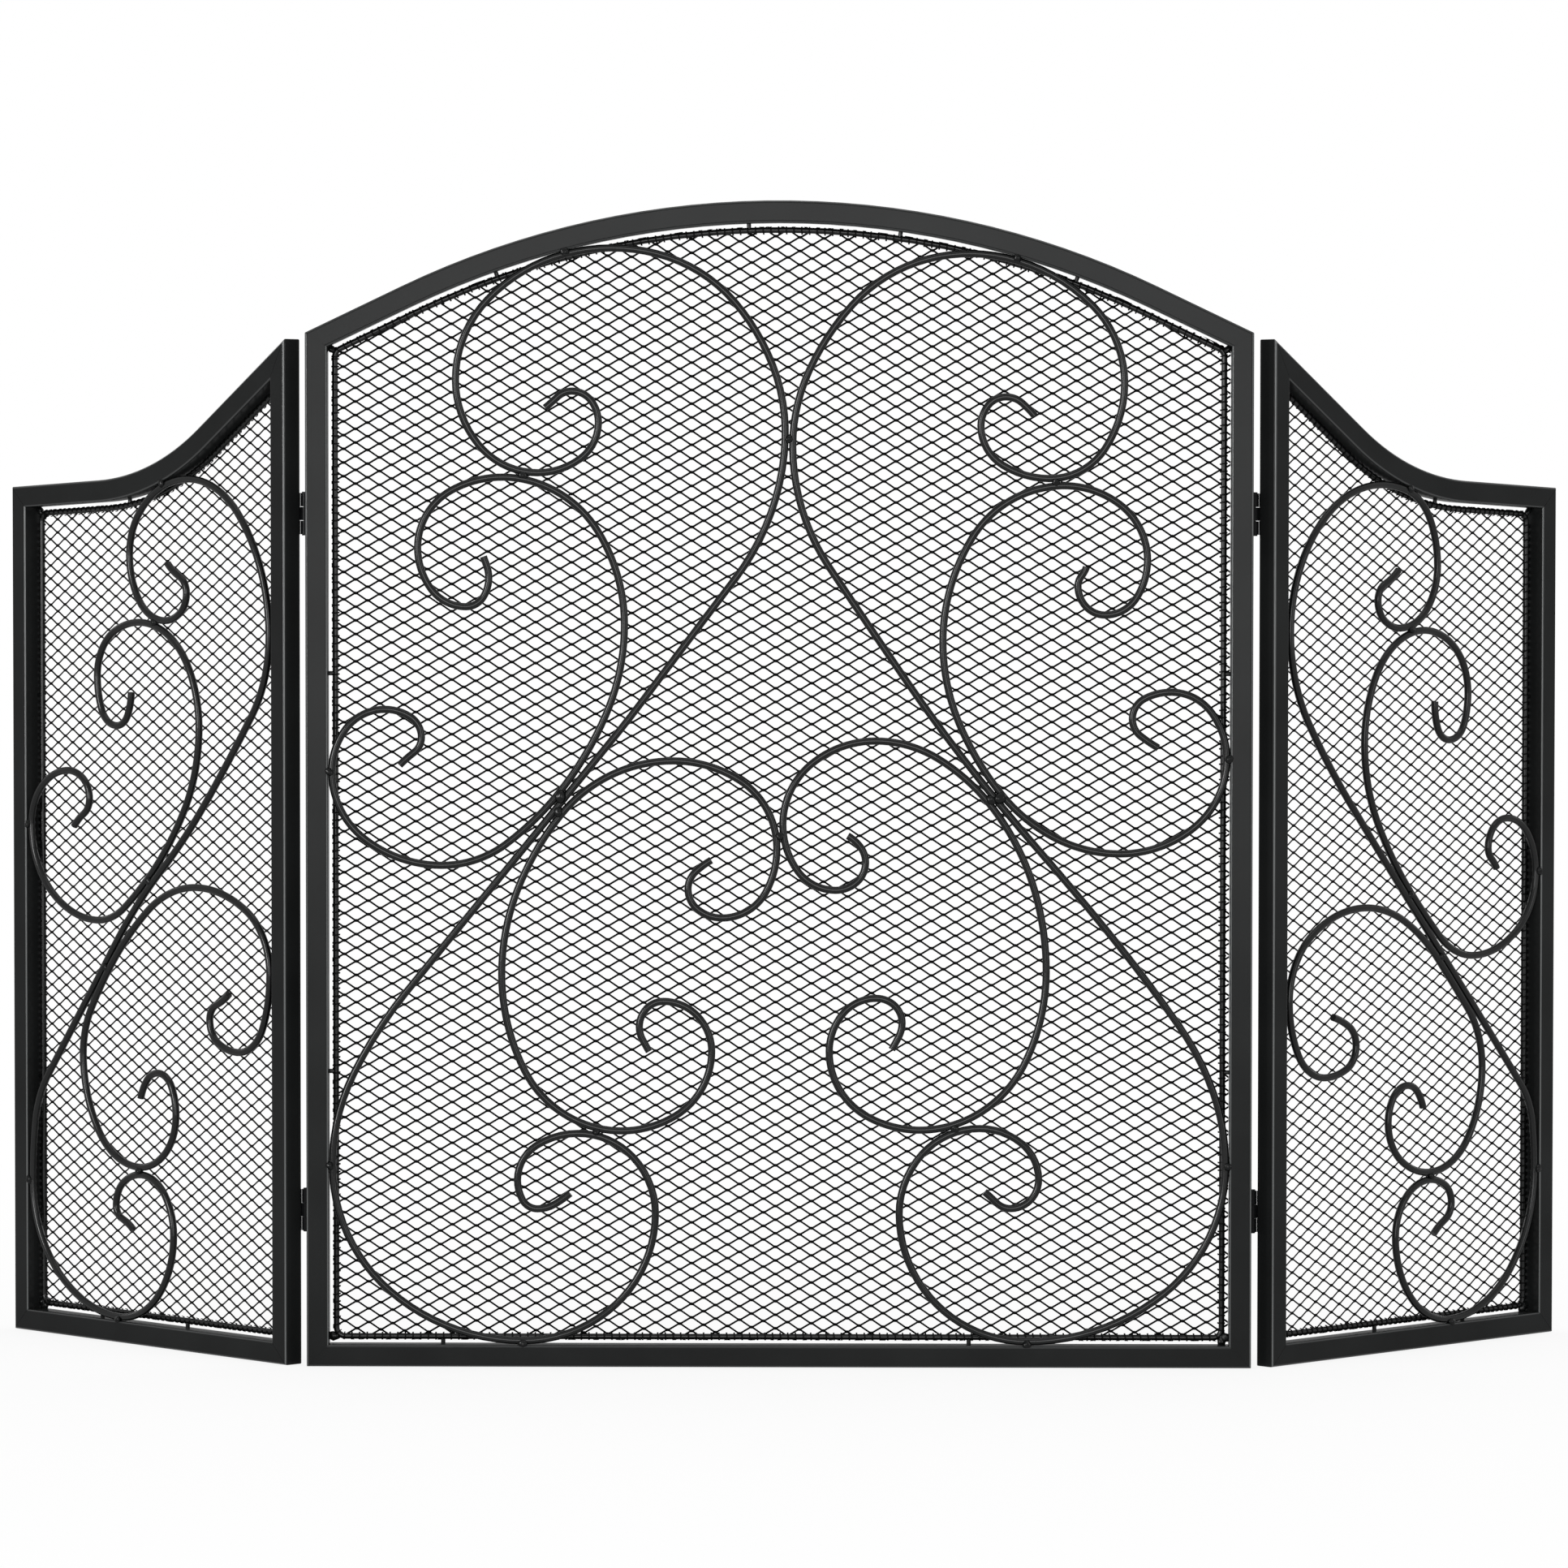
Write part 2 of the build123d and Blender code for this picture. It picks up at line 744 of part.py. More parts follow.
# Side panels and their hinges
for side, name in side_names.items():
    plane = side_plane(side)
    wire_view = forward(plane, side, -wire_setback)
    rod_view = forward(plane, side, rod_advance)
    frame_tubes(
        plane,
        side_panel,
        [f"{name}_bottom_rail", f"{name}_outer_post", f"{name}_swept_rail", f"{name}_hinge_post"],
    )
    wire = wire_frame(f"{name}_wire_frame", wire_view, side_panel)
    mesh_sheet(f"{name}_mesh", wire_view, side_panel)
    wire_nubs(
        f"{name}_wire_nubs",
        wire_view,
        nub_seats(side_panel, *side_nubs),
        wire,
    )
    routes = side_routes[side]
    rod_lines = {}
    for place, route in routes.items():
        scroll = f"{name}_{place}_scroll"
        rod_lines[place] = scroll_rod(scroll, rod_view, side_panel, rod_lines, route)
    front = rod_view.z_dir * side
    weld_spots = tube_weld_spots(rod_view, side_panel, front, routes.values())
    weld_spots += rod_weld_spots(rod_view, side_panel, front, rod_lines, routes.values())
    scroll_welds(f"{name}_scroll_welds", weld_spots)
    hinge(f"{name}_upper_hinge", side, upper_hinge_height)
    hinge(f"{name}_lower_hinge", side, lower_hinge_height)
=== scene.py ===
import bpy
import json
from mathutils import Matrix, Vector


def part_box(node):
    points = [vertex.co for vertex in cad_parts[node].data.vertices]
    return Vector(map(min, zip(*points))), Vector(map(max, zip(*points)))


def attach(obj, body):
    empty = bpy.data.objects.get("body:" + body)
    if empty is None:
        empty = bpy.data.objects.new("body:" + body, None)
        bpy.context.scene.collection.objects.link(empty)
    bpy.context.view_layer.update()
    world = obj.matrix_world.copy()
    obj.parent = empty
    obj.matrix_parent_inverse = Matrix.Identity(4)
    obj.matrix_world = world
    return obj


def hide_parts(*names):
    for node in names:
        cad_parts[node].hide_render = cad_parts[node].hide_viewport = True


bl_info = {
    "name": "Folding Fireplace Screen",
    "version": (1, 0, 0),
    "blender": (4, 5, 0),
    "location": "View3D > Sidebar > Fireplace Screen",
    "description": "Dresses a folding steel fireplace screen with mesh, crimps, welds and finishes",
    "category": "Object",
}

import json
from math import atan, atan2, ceil, cos, pi, radians, sin, tan

import bmesh
import bpy
from bpy.props import FloatProperty, FloatVectorProperty, PointerProperty
from mathutils import Matrix, Vector, noise

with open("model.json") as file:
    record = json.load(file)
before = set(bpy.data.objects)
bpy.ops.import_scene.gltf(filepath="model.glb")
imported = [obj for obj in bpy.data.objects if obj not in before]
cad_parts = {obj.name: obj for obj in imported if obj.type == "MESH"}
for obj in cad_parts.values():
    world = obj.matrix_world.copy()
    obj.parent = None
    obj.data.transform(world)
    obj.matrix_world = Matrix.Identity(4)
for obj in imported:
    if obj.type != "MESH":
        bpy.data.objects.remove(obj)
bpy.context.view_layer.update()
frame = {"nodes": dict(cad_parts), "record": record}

MM = 0.001
LEFT, RIGHT = -1, 1

# Sizes of the welded frame that the new pieces have to fit, in millimetres and radians
TUBE_SIZE = 15
WIRE_DIAMETER = 4
WIRE_GAP = 2.5
WIRE_SLOPE_GAP = 0.3
WIRE_LINE = TUBE_SIZE + WIRE_GAP + WIRE_DIAMETER / 2
WIRE_SETBACK = 4.5
WIRE_BEND = 6
CENTRE_HALF_WIDTH = 320
CORNER_HEIGHT = 700
CROWN_HEIGHT = 789
ARCH_STRAIGHT = 72
SIDE_WIDTH = 298
HINGE_SIDE_HEIGHT = 696
OUTER_SIDE_HEIGHT = 597
SWEEP_BEND = (142, 604)
SWEEP_RADIUS = 220
FOLD = radians(45)
PIVOT_OUT = 321
PIVOT_BACK = 11
PANEL_GAP = 2

# Corners of a panel's outline in their order. The centre panel's left side counts as inner.
FOOT_IN, FOOT_OUT, TOP_OUT, BEND, TOP_IN = range(5)
MITRED = (FOOT_IN, FOOT_OUT, TOP_OUT, TOP_IN)

# Rise of the mesh rows for each millimetre across, since no sheet was cut quite straight
MESH_SLOPES = {"centre": -0.047, "left": -0.0275, "right": 0.05}

# Small sizes of the new pieces, in millimetres
POST_CLEARANCE = 0.6
TONGUE_OVERLAP = 0.8
CRIMP_TIP_SHIFT = (0.3, -0.5, 0)
BEAD_SINK = 0.9
BEAD_NEIGHBOUR = 15
WEB_OVERLAP = 3.5
WEB_DEPTH = 4.2
WEB_HEIGHT = 6.2
SLANT_WEB_HEIGHT = 4.6
MITRE_ROUNDING = 2.2
SHOULDER_FROM, SHOULDER_TO = 1.1, 2.9
SHOULDER_DEPTH = 0.6
SHOULDER_ROUNDING = 0.08

# Limits for telling faces and points apart: in millimetres, and as a share of a face's normal
TRIM_REACH = 12
SAME_EDGE = 0.1
MERGE_DISTANCE = 0.02
TOUCHING = 0.001
FACING, LEANING = 0.9, 0.2

# How uneven a weld bead is: lumps in a metre, their swing, and the steps from bead to bead
BEAD_LUMPS = 420
BEAD_SWING = 2
BEAD_STEP, SIDE_STEP = 7.3, 3.1
BEAD_TURN = 1.1

# How much larger the beads are where two lie close
UPPER_BEAD, LOWER_BEAD = 1.5, 1.15

# Crimps: sides of a whole ring, and the angle up to which its edges look round
CRIMP_SIDES = 10
CRIMP_ROUND = radians(40)

# Shape of the cut strand ends that stand out at the side panels' outer posts
TONGUE_TURN = (0, radians(12), radians(8))
TONGUE_SHARE = 0.7
TONGUE_TAPER = 0.75

# Slow patches in the coat: width in millimetres, the stretch of their noise that is used, and how
# far they change the colour and the roughness
PATCH_SIZE = 60
PATCH_LOW, PATCH_HIGH = 0.3, 0.7
PATCH_TONE = 0.18
PATCH_SMOOTHER, PATCH_ROUGHER = 0.05, 0.06

# Rounded tube corners, by how far the surface turns from the middle of the corner: where the
# painted highlight line and the gloss are full and where they end, and how glossy the corner is
HIGHLIGHT_FULL, HIGHLIGHT_ENDS = 0.05, 0.26
GLOSS_FULL, GLOSS_ENDS = 0.20, 0.28
CORNER_GLOSS = 0.5

# The painted highlight lines fade where the surface faces up or down, to a share on level tubes
UPRIGHT, LEVEL = 0.1, 0.5
LEVEL_SHARE = 0.25

# Stage: floor, and the ring in which it turns from shaded to plain white, in metres
FLOOR_RADIUS = 14
FLOOR_DROP = 0.0002
FADE_FROM, FADE_TO = 0.4, 1.6

# Sides of the floor, share of plain white in its middle, and strength of the light all round
FLOOR_SIDES = 96
FADE_LEAST = 0.85
AMBIENT = 0.6

# Lamps: the setting that gives their power and the share of it, then in metres their place, the
# height of the point they face, and the width and height of the glow
LAMPS = {
    "front softbox": ("key_power", 1, (-0.1, -4.8, 0.95), 0.5, (2.0, 1.8)),
    "left softbox": ("strip_power", 1, (-3.2, -3.0, 1.15), 0.6, (0.45, 1.8)),
    "right strip light": ("strip_power", 0.9, (3.6, -2.6, 1.15), 0.6, (0.9, 2.2)),
    "left glint light": ("glint_power", 1, (-3.4, -3.2, 1.15), 0.6, (1.0, 1.8)),
    "left rim light": ("rim_power", 1, (-2.6, 2.4, 1.5), 0.5, (1.0, 1.0)),
    "right rim light": ("rim_power", 1, (2.6, 2.4, 1.5), 0.5, (1.0, 1.0)),
    "top softbox": ("rim_power", 2, (0, 0.2, 2.8), 0.4, (2.0, 2.0)),
}

# Camera: sensor in millimetres, then in metres and radians how far it sees, its place and turn
SENSOR_WIDTH = 36
CAMERA_REACH = 100
CAMERA_PLACE = (0.0623, -4.6353, 0.5713)
CAMERA_TURN = (radians(90 - 2.173), radians(-0.036), radians(0.729))


def linear(code):
    """Linear colour of an sRGB hex code."""
    parts = [int(code[place : place + 2], 16) / 255 for place in (1, 3, 5)]
    return tuple(
        part / 12.92 if part <= 0.04045 else ((part + 0.055) / 1.055) ** 2.4 for part in parts
    )


def colour_property(label, words, code):
    """Colour property whose default is an sRGB hex code."""
    return FloatVectorProperty(
        name=label,
        description=words,
        subtype="COLOR",
        size=3,
        min=0,
        max=1,
        default=linear(code),
    )


def size_property(label, words, millimetres):
    """Length property whose default is in millimetres."""
    return FloatProperty(
        name=label, description=words, unit="LENGTH", min=0, default=millimetres * MM
    )


def angle_property(label, words, degrees):
    """Angle property whose default is in degrees."""
    return FloatProperty(
        name=label, description=words, subtype="ANGLE", min=0, default=radians(degrees)
    )


def power_property(label, words, watts):
    """Power of a lamp in watts."""
    return FloatProperty(name=label, description=words, unit="POWER", min=0, default=watts)


class ScreenMeshSettings(bpy.types.PropertyGroup):
    """Sizes of the expanded steel mesh."""

    long_pitch: size_property("Long pitch", "Width of one diamond, bond to bond", 16.25)
    short_pitch: size_property("Short pitch", "Height of one diamond, bond to bond", 9.25)
    strand_width: size_property("Strand width", "Width of the slit strand", 1.45)
    strand_thickness: size_property("Strand thickness", "Thickness of the sheet", 0.6)
    strand_tilt: angle_property("Strand tilt", "How far the strands turn out of the sheet", 35)
    bond_length: size_property("Bond length", "Length over which two strands stay joined", 1.7)
    bond_rise: size_property("Bond rise", "Half the step between the two joined strands", 0.25)
    side_strand_width: size_property("Side strand width", "Width of a side panel's strand", 1.1)
    side_strand_tilt: angle_property(
        "Side strand tilt", "How far the strands of the flatter side sheets turn", 15
    )
    side_bond_length: size_property("Side bond length", "Length of a side panel's bond", 2.3)
    side_bond_rise: size_property(
        "Side bond rise", "Half the step between the joined strands in the side panels", 0.42
    )
    cut_past: size_property("Cut past wire", "How far strands stand past the wire's middle", 2.4)


class ScreenWeldSettings(bpy.types.PropertyGroup):
    """Sizes of the crimps and weld beads."""

    crimp_pitch: size_property("Crimp pitch", "Distance between folded strands on the wire", 5.2)
    tongue_pitch: size_property("Tongue pitch", "Distance between cut strands at a post", 4.62)
    crimp_width: size_property("Crimp width", "Width of a folded strand", 1.1)
    crimp_thickness: size_property("Crimp thickness", "Thickness of a folded strand", 0.45)
    bead_length: size_property("Bead length", "Length of a weld bead", 6.4)
    bead_height: size_property("Bead height", "Height of a weld bead", 5.4)
    bead_depth: size_property("Bead depth", "Depth of a weld bead", 5.2)
    bead_roughness: size_property("Bead roughness", "How uneven a weld bead is", 0.35)
    mitre_width: size_property("Mitre width", "Width of the weld in a mitre", 0.4)
    mitre_depth: size_property("Mitre depth", "How far a mitre weld lies below the tube", 0.2)


class ScreenFinishSettings(bpy.types.PropertyGroup):
    """Colours of the coated steel, and of the painted highlight along the tube corners."""

    frame_colour: colour_property("Frame", "Powder coat on the square tubes", "#1b1c1c")
    # Painted highlight: the lighter colour laid along the rounded tube corners
    corner_highlight_colour: colour_property("Tube corners", "Thinner coat on tube corners", "#5c5e5e")
    rod_colour: colour_property("Rods", "Powder coat on the scrolls and wires", "#0d0e0e")
    mesh_colour: colour_property("Mesh", "Powder coat on the expanded mesh", "#060606")
    hinge_colour: colour_property("Hinges", "Powder coat on the hinges", "#101112")


class ScreenStageSettings(bpy.types.PropertyGroup):
    """Floor, light and camera."""

    floor_colour: colour_property("Floor", "Pale floor under the screen", "#f4f4f4")
    key_power: power_property("Key light", "Power of the large front light", 66)
    rim_power: power_property("Rim lights", "Power of the lights at the back and above", 12)
    strip_power: power_property("Strip lights", "Power of the tall lights at both sides", 32)
    glint_power: power_property("Glint light", "Power of the light that only gloss shows", 110)
    lens: FloatProperty(
        name="Lens", description="Focal length at full frame", unit="CAMERA", default=157.45
    )


def deselect():
    """Leave edit mode and clear the selection."""
    if bpy.context.object and bpy.context.object.mode != "OBJECT":
        bpy.ops.object.mode_set(mode="OBJECT")
    bpy.ops.object.select_all(action="DESELECT")


def active_piece(name):
    """Name and return the object that was just added."""
    piece = bpy.context.object
    piece.name = name
    piece.data.name = name
    return piece


def select_faces(piece, wanted):
    """Select the faces in edit mode for which wanted(face) holds."""
    bm = bmesh.from_edit_mesh(piece.data)
    for face in bm.faces:
        face.select_set(wanted(face))
    bm.select_flush_mode()
    bmesh.update_edit_mesh(piece.data)


def apply_modifiers(piece):
    """Apply every modifier of a piece in order."""
    deselect()
    piece.select_set(True)
    bpy.context.view_layer.objects.active = piece
    for modifier in list(piece.modifiers):
        bpy.ops.object.modifier_apply(modifier=modifier.name)


def join_pieces(pieces, name):
    """Join pieces into the first of them, under one name."""
    deselect()
    for piece in pieces:
        piece.select_set(True)
    bpy.context.view_layer.objects.active = pieces[0]
    bpy.ops.object.join()
    return active_piece(name)


def add_node(tree, kind, inputs=(), **settings):
    """Add a shader node, set its options and fill or link its inputs."""
    node = tree.nodes.new(kind)
    for key, value in settings.items():
        setattr(node, key, value)
    for key, value in dict(inputs).items():
        if isinstance(value, bpy.types.NodeSocket):
            tree.links.new(value, node.inputs[key])
        else:
            node.inputs[key].default_value = value
    return node


def new_material(name):
    """Empty node material and its output."""
    material = bpy.data.materials.new(name)
    material.use_nodes = True
    tree = material.node_tree
    tree.nodes.clear()
    return material, tree, tree.nodes.new("ShaderNodeOutputMaterial")


def seen_rays(tree):
    """Share that is 1 for what the camera sees, straight or through gloss and glass."""
    light = add_node(tree, "ShaderNodeLightPath")
    seen = light.outputs["Is Camera Ray"]
    for kind in ("Is Glossy Ray", "Is Transmission Ray"):
        rays = {0: seen, 1: light.outputs[kind]}
        seen = add_node(tree, "ShaderNodeMath", rays, operation="MAXIMUM").outputs[0]
    return seen


def powder_coat(
    name,
    colour,
    gloss_share,
    roughness=0.40,
    sheen=0.01,
    grain_mm=1.1,
    grain_height_mm=0.04,
    edge=None,
    front=None,
):
    """Baked polyester powder on steel.

    It gives a satin black with wide soft highlights, a fine orange peel from the melted
    grains, and slow patches where the coat flowed a little smoother. The orange peel is drawn
    rather coarse, at about a millimetre, so that it shows. On a tube, whose front is given, the
    rounded corners carry a painted highlight, a thin lighter line, and a glossier coat.
    """
    material, tree, output = new_material(name)
    place = add_node(tree, "ShaderNodeTexCoord").outputs["Object"]
    grain = add_node(
        tree,
        "ShaderNodeTexNoise",
        {"Vector": place, "Scale": 1 / (grain_mm * MM), "Detail": 2.0, "Roughness": 0.45},
    )
    patches = add_node(
        tree, "ShaderNodeTexNoise", {"Vector": place, "Scale": 1 / (PATCH_SIZE * MM), "Detail": 3.0}
    )
    gloss = add_node(
        tree,
        "ShaderNodeMapRange",
        {
            "Value": patches.outputs["Fac"],
            "From Min": PATCH_LOW,
            "From Max": PATCH_HIGH,
            "To Min": roughness - PATCH_SMOOTHER,
            "To Max": roughness + PATCH_ROUGHER,
        },
    )
    ramp = add_node(tree, "ShaderNodeValToRGB", {"Fac": patches.outputs["Fac"]})
    tones = ((PATCH_LOW, 1 - PATCH_TONE), (PATCH_HIGH, 1 + PATCH_TONE))
    for element, (position, tone) in zip(ramp.color_ramp.elements, tones):
        element.position = position
        element.color = (*[part * tone for part in colour], 1)
    skin = ramp.outputs["Color"]
    # On tubes, a painted highlight lightens the rounded corners, which are also made glossier
    if front:
        skin, gloss_share = painted_corner_highlights(tree, skin, edge, front, gloss_share)
    bump = add_node(
        tree,
        "ShaderNodeBump",
        {"Height": grain.outputs["Fac"], "Strength": 0.35, "Distance": grain_height_mm * MM},
    )
    coat = add_node(
        tree,
        "ShaderNodeBsdfPrincipled",
        {
            "Base Color": skin,
            "Roughness": gloss.outputs["Result"],
            "Normal": bump.outputs["Normal"],
            "IOR": 1.5,
            "Specular IOR Level": sheen,
            "Coat Weight": gloss_share,
            "Coat Roughness": 0.2,
        },
    )
    tree.links.new(coat.outputs["BSDF"], output.inputs["Surface"])
    return material


def painted_corner_highlights(tree, skin, edge, front, gloss_share):
    """Colour and gloss of a tube, with a painted highlight that lightens its rounded corners, which
    are also smoother.
    """
    facing = add_node(tree, "ShaderNodeTexCoord").outputs["Normal"]
    share = add_node(tree, "ShaderNodeVectorMath", {0: facing, 1: front}, operation="DOT_PRODUCT")
    turned = add_node(tree, "ShaderNodeMath", {0: share.outputs["Value"]}, operation="ABSOLUTE")
    middle = add_node(
        tree, "ShaderNodeMath", {0: turned.outputs[0], 1: cos(pi / 4)}, operation="SUBTRACT"
    )
    away = add_node(tree, "ShaderNodeMath", {0: middle.outputs[0]}, operation="ABSOLUTE")
    # Painted highlight: full along the middle of each rounded corner, fading out towards the flat
    # faces
    line = add_node(
        tree,
        "ShaderNodeMapRange",
        {
            "Value": away.outputs[0],
            "From Min": HIGHLIGHT_FULL,
            "From Max": HIGHLIGHT_ENDS,
            "To Min": 1,
            "To Max": 0,
        },
        interpolation_type="SMOOTHSTEP",
    )
    # The painted highlight fades where the surface faces up or down
    climb = add_node(tree, "ShaderNodeSeparateXYZ", {0: facing}).outputs["Z"]
    level = add_node(tree, "ShaderNodeMath", {0: climb}, operation="ABSOLUTE")
    upright = add_node(
        tree,
        "ShaderNodeMapRange",
        {
            "Value": level.outputs[0],
            "From Min": UPRIGHT,
            "From Max": LEVEL,
            "To Min": 1,
            "To Max": LEVEL_SHARE,
        },
    )
    highlight_weight = add_node(
        tree,
        "ShaderNodeMath",
        {0: line.outputs["Result"], 1: upright.outputs["Result"]},
        operation="MULTIPLY",
    )
    # Painted highlight: the corner colour mixed over the coat
    mixed = add_node(
        tree,
        "ShaderNodeMix",
        {0: highlight_weight.outputs[0], 6: skin, 7: (*edge, 1)},
        data_type="RGBA",
    )
    glossy = add_node(
        tree,
        "ShaderNodeMapRange",
        {
            "Value": away.outputs[0],
            "From Min": GLOSS_FULL,
            "From Max": GLOSS_ENDS,
            "To Min": CORNER_GLOSS,
            "To Max": gloss_share,
        },
    )
    return mixed.outputs[2], glossy.outputs["Result"]


def put_material(piece, material):
    """Give a piece one material all over."""
    piece.data.materials.clear()
    piece.data.materials.append(material)


def finishes():
    """The coats, made once and then found by name."""
    settings = bpy.context.scene.screen_finish
    # Satin black on flat tube: dark faces that take a broad soft sheen from the front light
    tube = {
        "colour": settings.frame_colour,
        "gloss_share": 0.13,
        "grain_mm": 1.3,
        "grain_height_mm": 0.05,
        # Colour of the painted highlight along the rounded corners
        "edge": settings.corner_highlight_colour,
    }
    # The same powder on round rod: blacker, with a thin bright streak along the bend
    rod = {"colour": settings.rod_colour, "gloss_share": 0.42}
    # A thin, dry coat on the mesh: near black lines with hardly any shine
    mesh = {
        "colour": settings.mesh_colour,
        "gloss_share": 0.0,
        "roughness": 0.50,
        "sheen": 0.06,
        "grain_mm": 0.9,
        "grain_height_mm": 0.03,
    }
    # The hinges lie in the gaps, coated with the rest: dull black
    hinge = {"colour": settings.hinge_colour, "gloss_share": 0.07, "roughness": 0.42, "sheen": 0.02}
    # Powder over uneven weld metal: lumpy, with small broken glints
    weld = {**rod, "gloss_share": 0.28, "grain_mm": 1.6, "grain_height_mm": 0.10}
    wanted = {
        "satin powder coat on centre tube": {**tube, "front": (0, -1, 0)},
        "satin powder coat on left tube": {**tube, "front": (-sin(FOLD), -cos(FOLD), 0)},
        "satin powder coat on right tube": {**tube, "front": (sin(FOLD), -cos(FOLD), 0)},
        "satin powder coat on rod": rod,
        "satin powder coat on mesh": mesh,
        "satin powder coat on hinge": hinge,
        "powder coat over weld": weld,
    }
    found = {}
    for name, looks in wanted.items():
        found[name] = bpy.data.materials.get(name) or powder_coat(name, **looks)
    return found


class Panel:
    """Flat outline of a panel, its place in the screen and its body.

    Its own first axis runs outwards, its second one up, and its third one to the front on the
    right side and in the centre, and to the back on the left side.
    """

    def __init__(self, name, body, side, outline, lift, bend_radius, bend_sign, matrix, slope):
        self.name = name
        self.body = body
        self.side = side
        self.outline = [Vector(point) for point in outline]
        self.lift = lift
        self.bend_radius = bend_radius
        self.bend_sign = bend_sign
        self.matrix = matrix
        self.slope = slope

    def inset(self, distance, lift=0):
        """Corners of the outline after each side moves inwards, the one past the bend less."""
        corners = self.outline
        runs = [end - start for start, end in zip(corners, corners[1:] + corners[:1])]
        sides = [
            (Vector((-run.y, run.x)).normalized(), distance - (lift if place == BEND else 0))
            for place, run in enumerate(runs)
        ]
        moved = []
        for corner, (one, near), (two, far) in zip(corners, sides[-1:] + sides[:-1], sides):
            lean = one.dot(two)
            shift = one * (near - far * lean) + two * (far - near * lean)
            moved.append(corner + shift / (1 - lean**2))
        return moved

    def rounded(self, corners, index, radius, steps):
        """Points of the arc that rounds one corner of an outline."""
        corner = corners[index]
        to_before = (corners[index - 1] - corner).normalized()
        to_after = (corners[(index + 1) % len(corners)] - corner).normalized()
        half = to_before.angle(to_after) / 2
        centre = corner + (to_before + to_after).normalized() * (radius / sin(half))
        reach = radius / tan(half)
        start = corner + to_before * reach - centre
        end = corner + to_after * reach - centre
        turn = start.angle_signed(end)
        return [
            centre + Matrix.Rotation(-turn * step / steps, 2) @ start for step in range(steps + 1)
        ]

    def line(self, distance, corner_radius, bend_steps=24, corner_steps=4):
        """Closed line of the panel moved inwards, with its bend and rounded corners."""
        corners = self.inset(distance, self.lift)
        points = []
        for index in range(len(corners)):
            if index == BEND:
                radius = self.bend_radius - self.bend_sign * distance
                points += self.rounded(corners, index, radius, bend_steps)
            elif corner_radius:
                points += self.rounded(corners, index, corner_radius, corner_steps)
            else:
                points.append(corners[index])
        return points

    def to_screen(self, piece, ahead):
        """Move a flat piece into the panel, ahead of its middle, and settle its place."""
        shift = Matrix.Translation((0, 0, self.side * ahead * MM))
        piece.data.transform(self.matrix @ shift)
        piece.data.update()


def panels():
    """Centre, left and right panel."""
    rise = CROWN_HEIGHT - CORNER_HEIGHT
    angle = 2 * atan(rise / (CENTRE_HALF_WIDTH + ARCH_STRAIGHT))
    arch_radius = (CENTRE_HALF_WIDTH - ARCH_STRAIGHT * cos(angle)) / sin(angle)
    apex = CORNER_HEIGHT + CENTRE_HALF_WIDTH * tan(angle)
    half = CENTRE_HALF_WIDTH
    centre_outline = [
        (-half, 0), (half, 0), (half, CORNER_HEIGHT), (0, apex), (-half, CORNER_HEIGHT)
    ]
    side_outline = [
        (0, 0),
        (SIDE_WIDTH, 0),
        (SIDE_WIDTH, OUTER_SIDE_HEIGHT),
        SWEEP_BEND,
        (0, HINGE_SIDE_HEIGHT),
    ]
    found = [
        Panel(
            name="centre",
            body="centre",
            side=RIGHT,
            outline=centre_outline,
            lift=0,
            bend_radius=arch_radius,
            bend_sign=1,
            matrix=stand(RIGHT, 0, (0, 0)),
            slope=MESH_SLOPES["centre"],
        )
    ]
    out = PIVOT_OUT + PANEL_GAP / 2 * cos(FOLD) + PIVOT_BACK * sin(FOLD)
    back = PIVOT_BACK + PANEL_GAP / 2 * sin(FOLD) - PIVOT_BACK * cos(FOLD)
    for side, name in ((LEFT, "left"), (RIGHT, "right")):
        found.append(
            Panel(
                name=name,
                body=f"{name}_panel",
                side=side,
                outline=side_outline,
                lift=WIRE_GAP - WIRE_SLOPE_GAP,
                bend_radius=SWEEP_RADIUS,
                bend_sign=-1,
                matrix=stand(side, FOLD, (side * out * MM, back * MM)),
                slope=MESH_SLOPES[name],
            )
        )
    return found


def stand(side, fold, place):
    """Matrix that stands a flat panel up at its fold."""
    across = Vector((side * cos(fold), sin(fold), 0))
    up = Vector((0, 0, 1))
    turned = Matrix((across, up, across.cross(up))).transposed().to_4x4()
    return Matrix.Translation((*place, 0)) @ turned


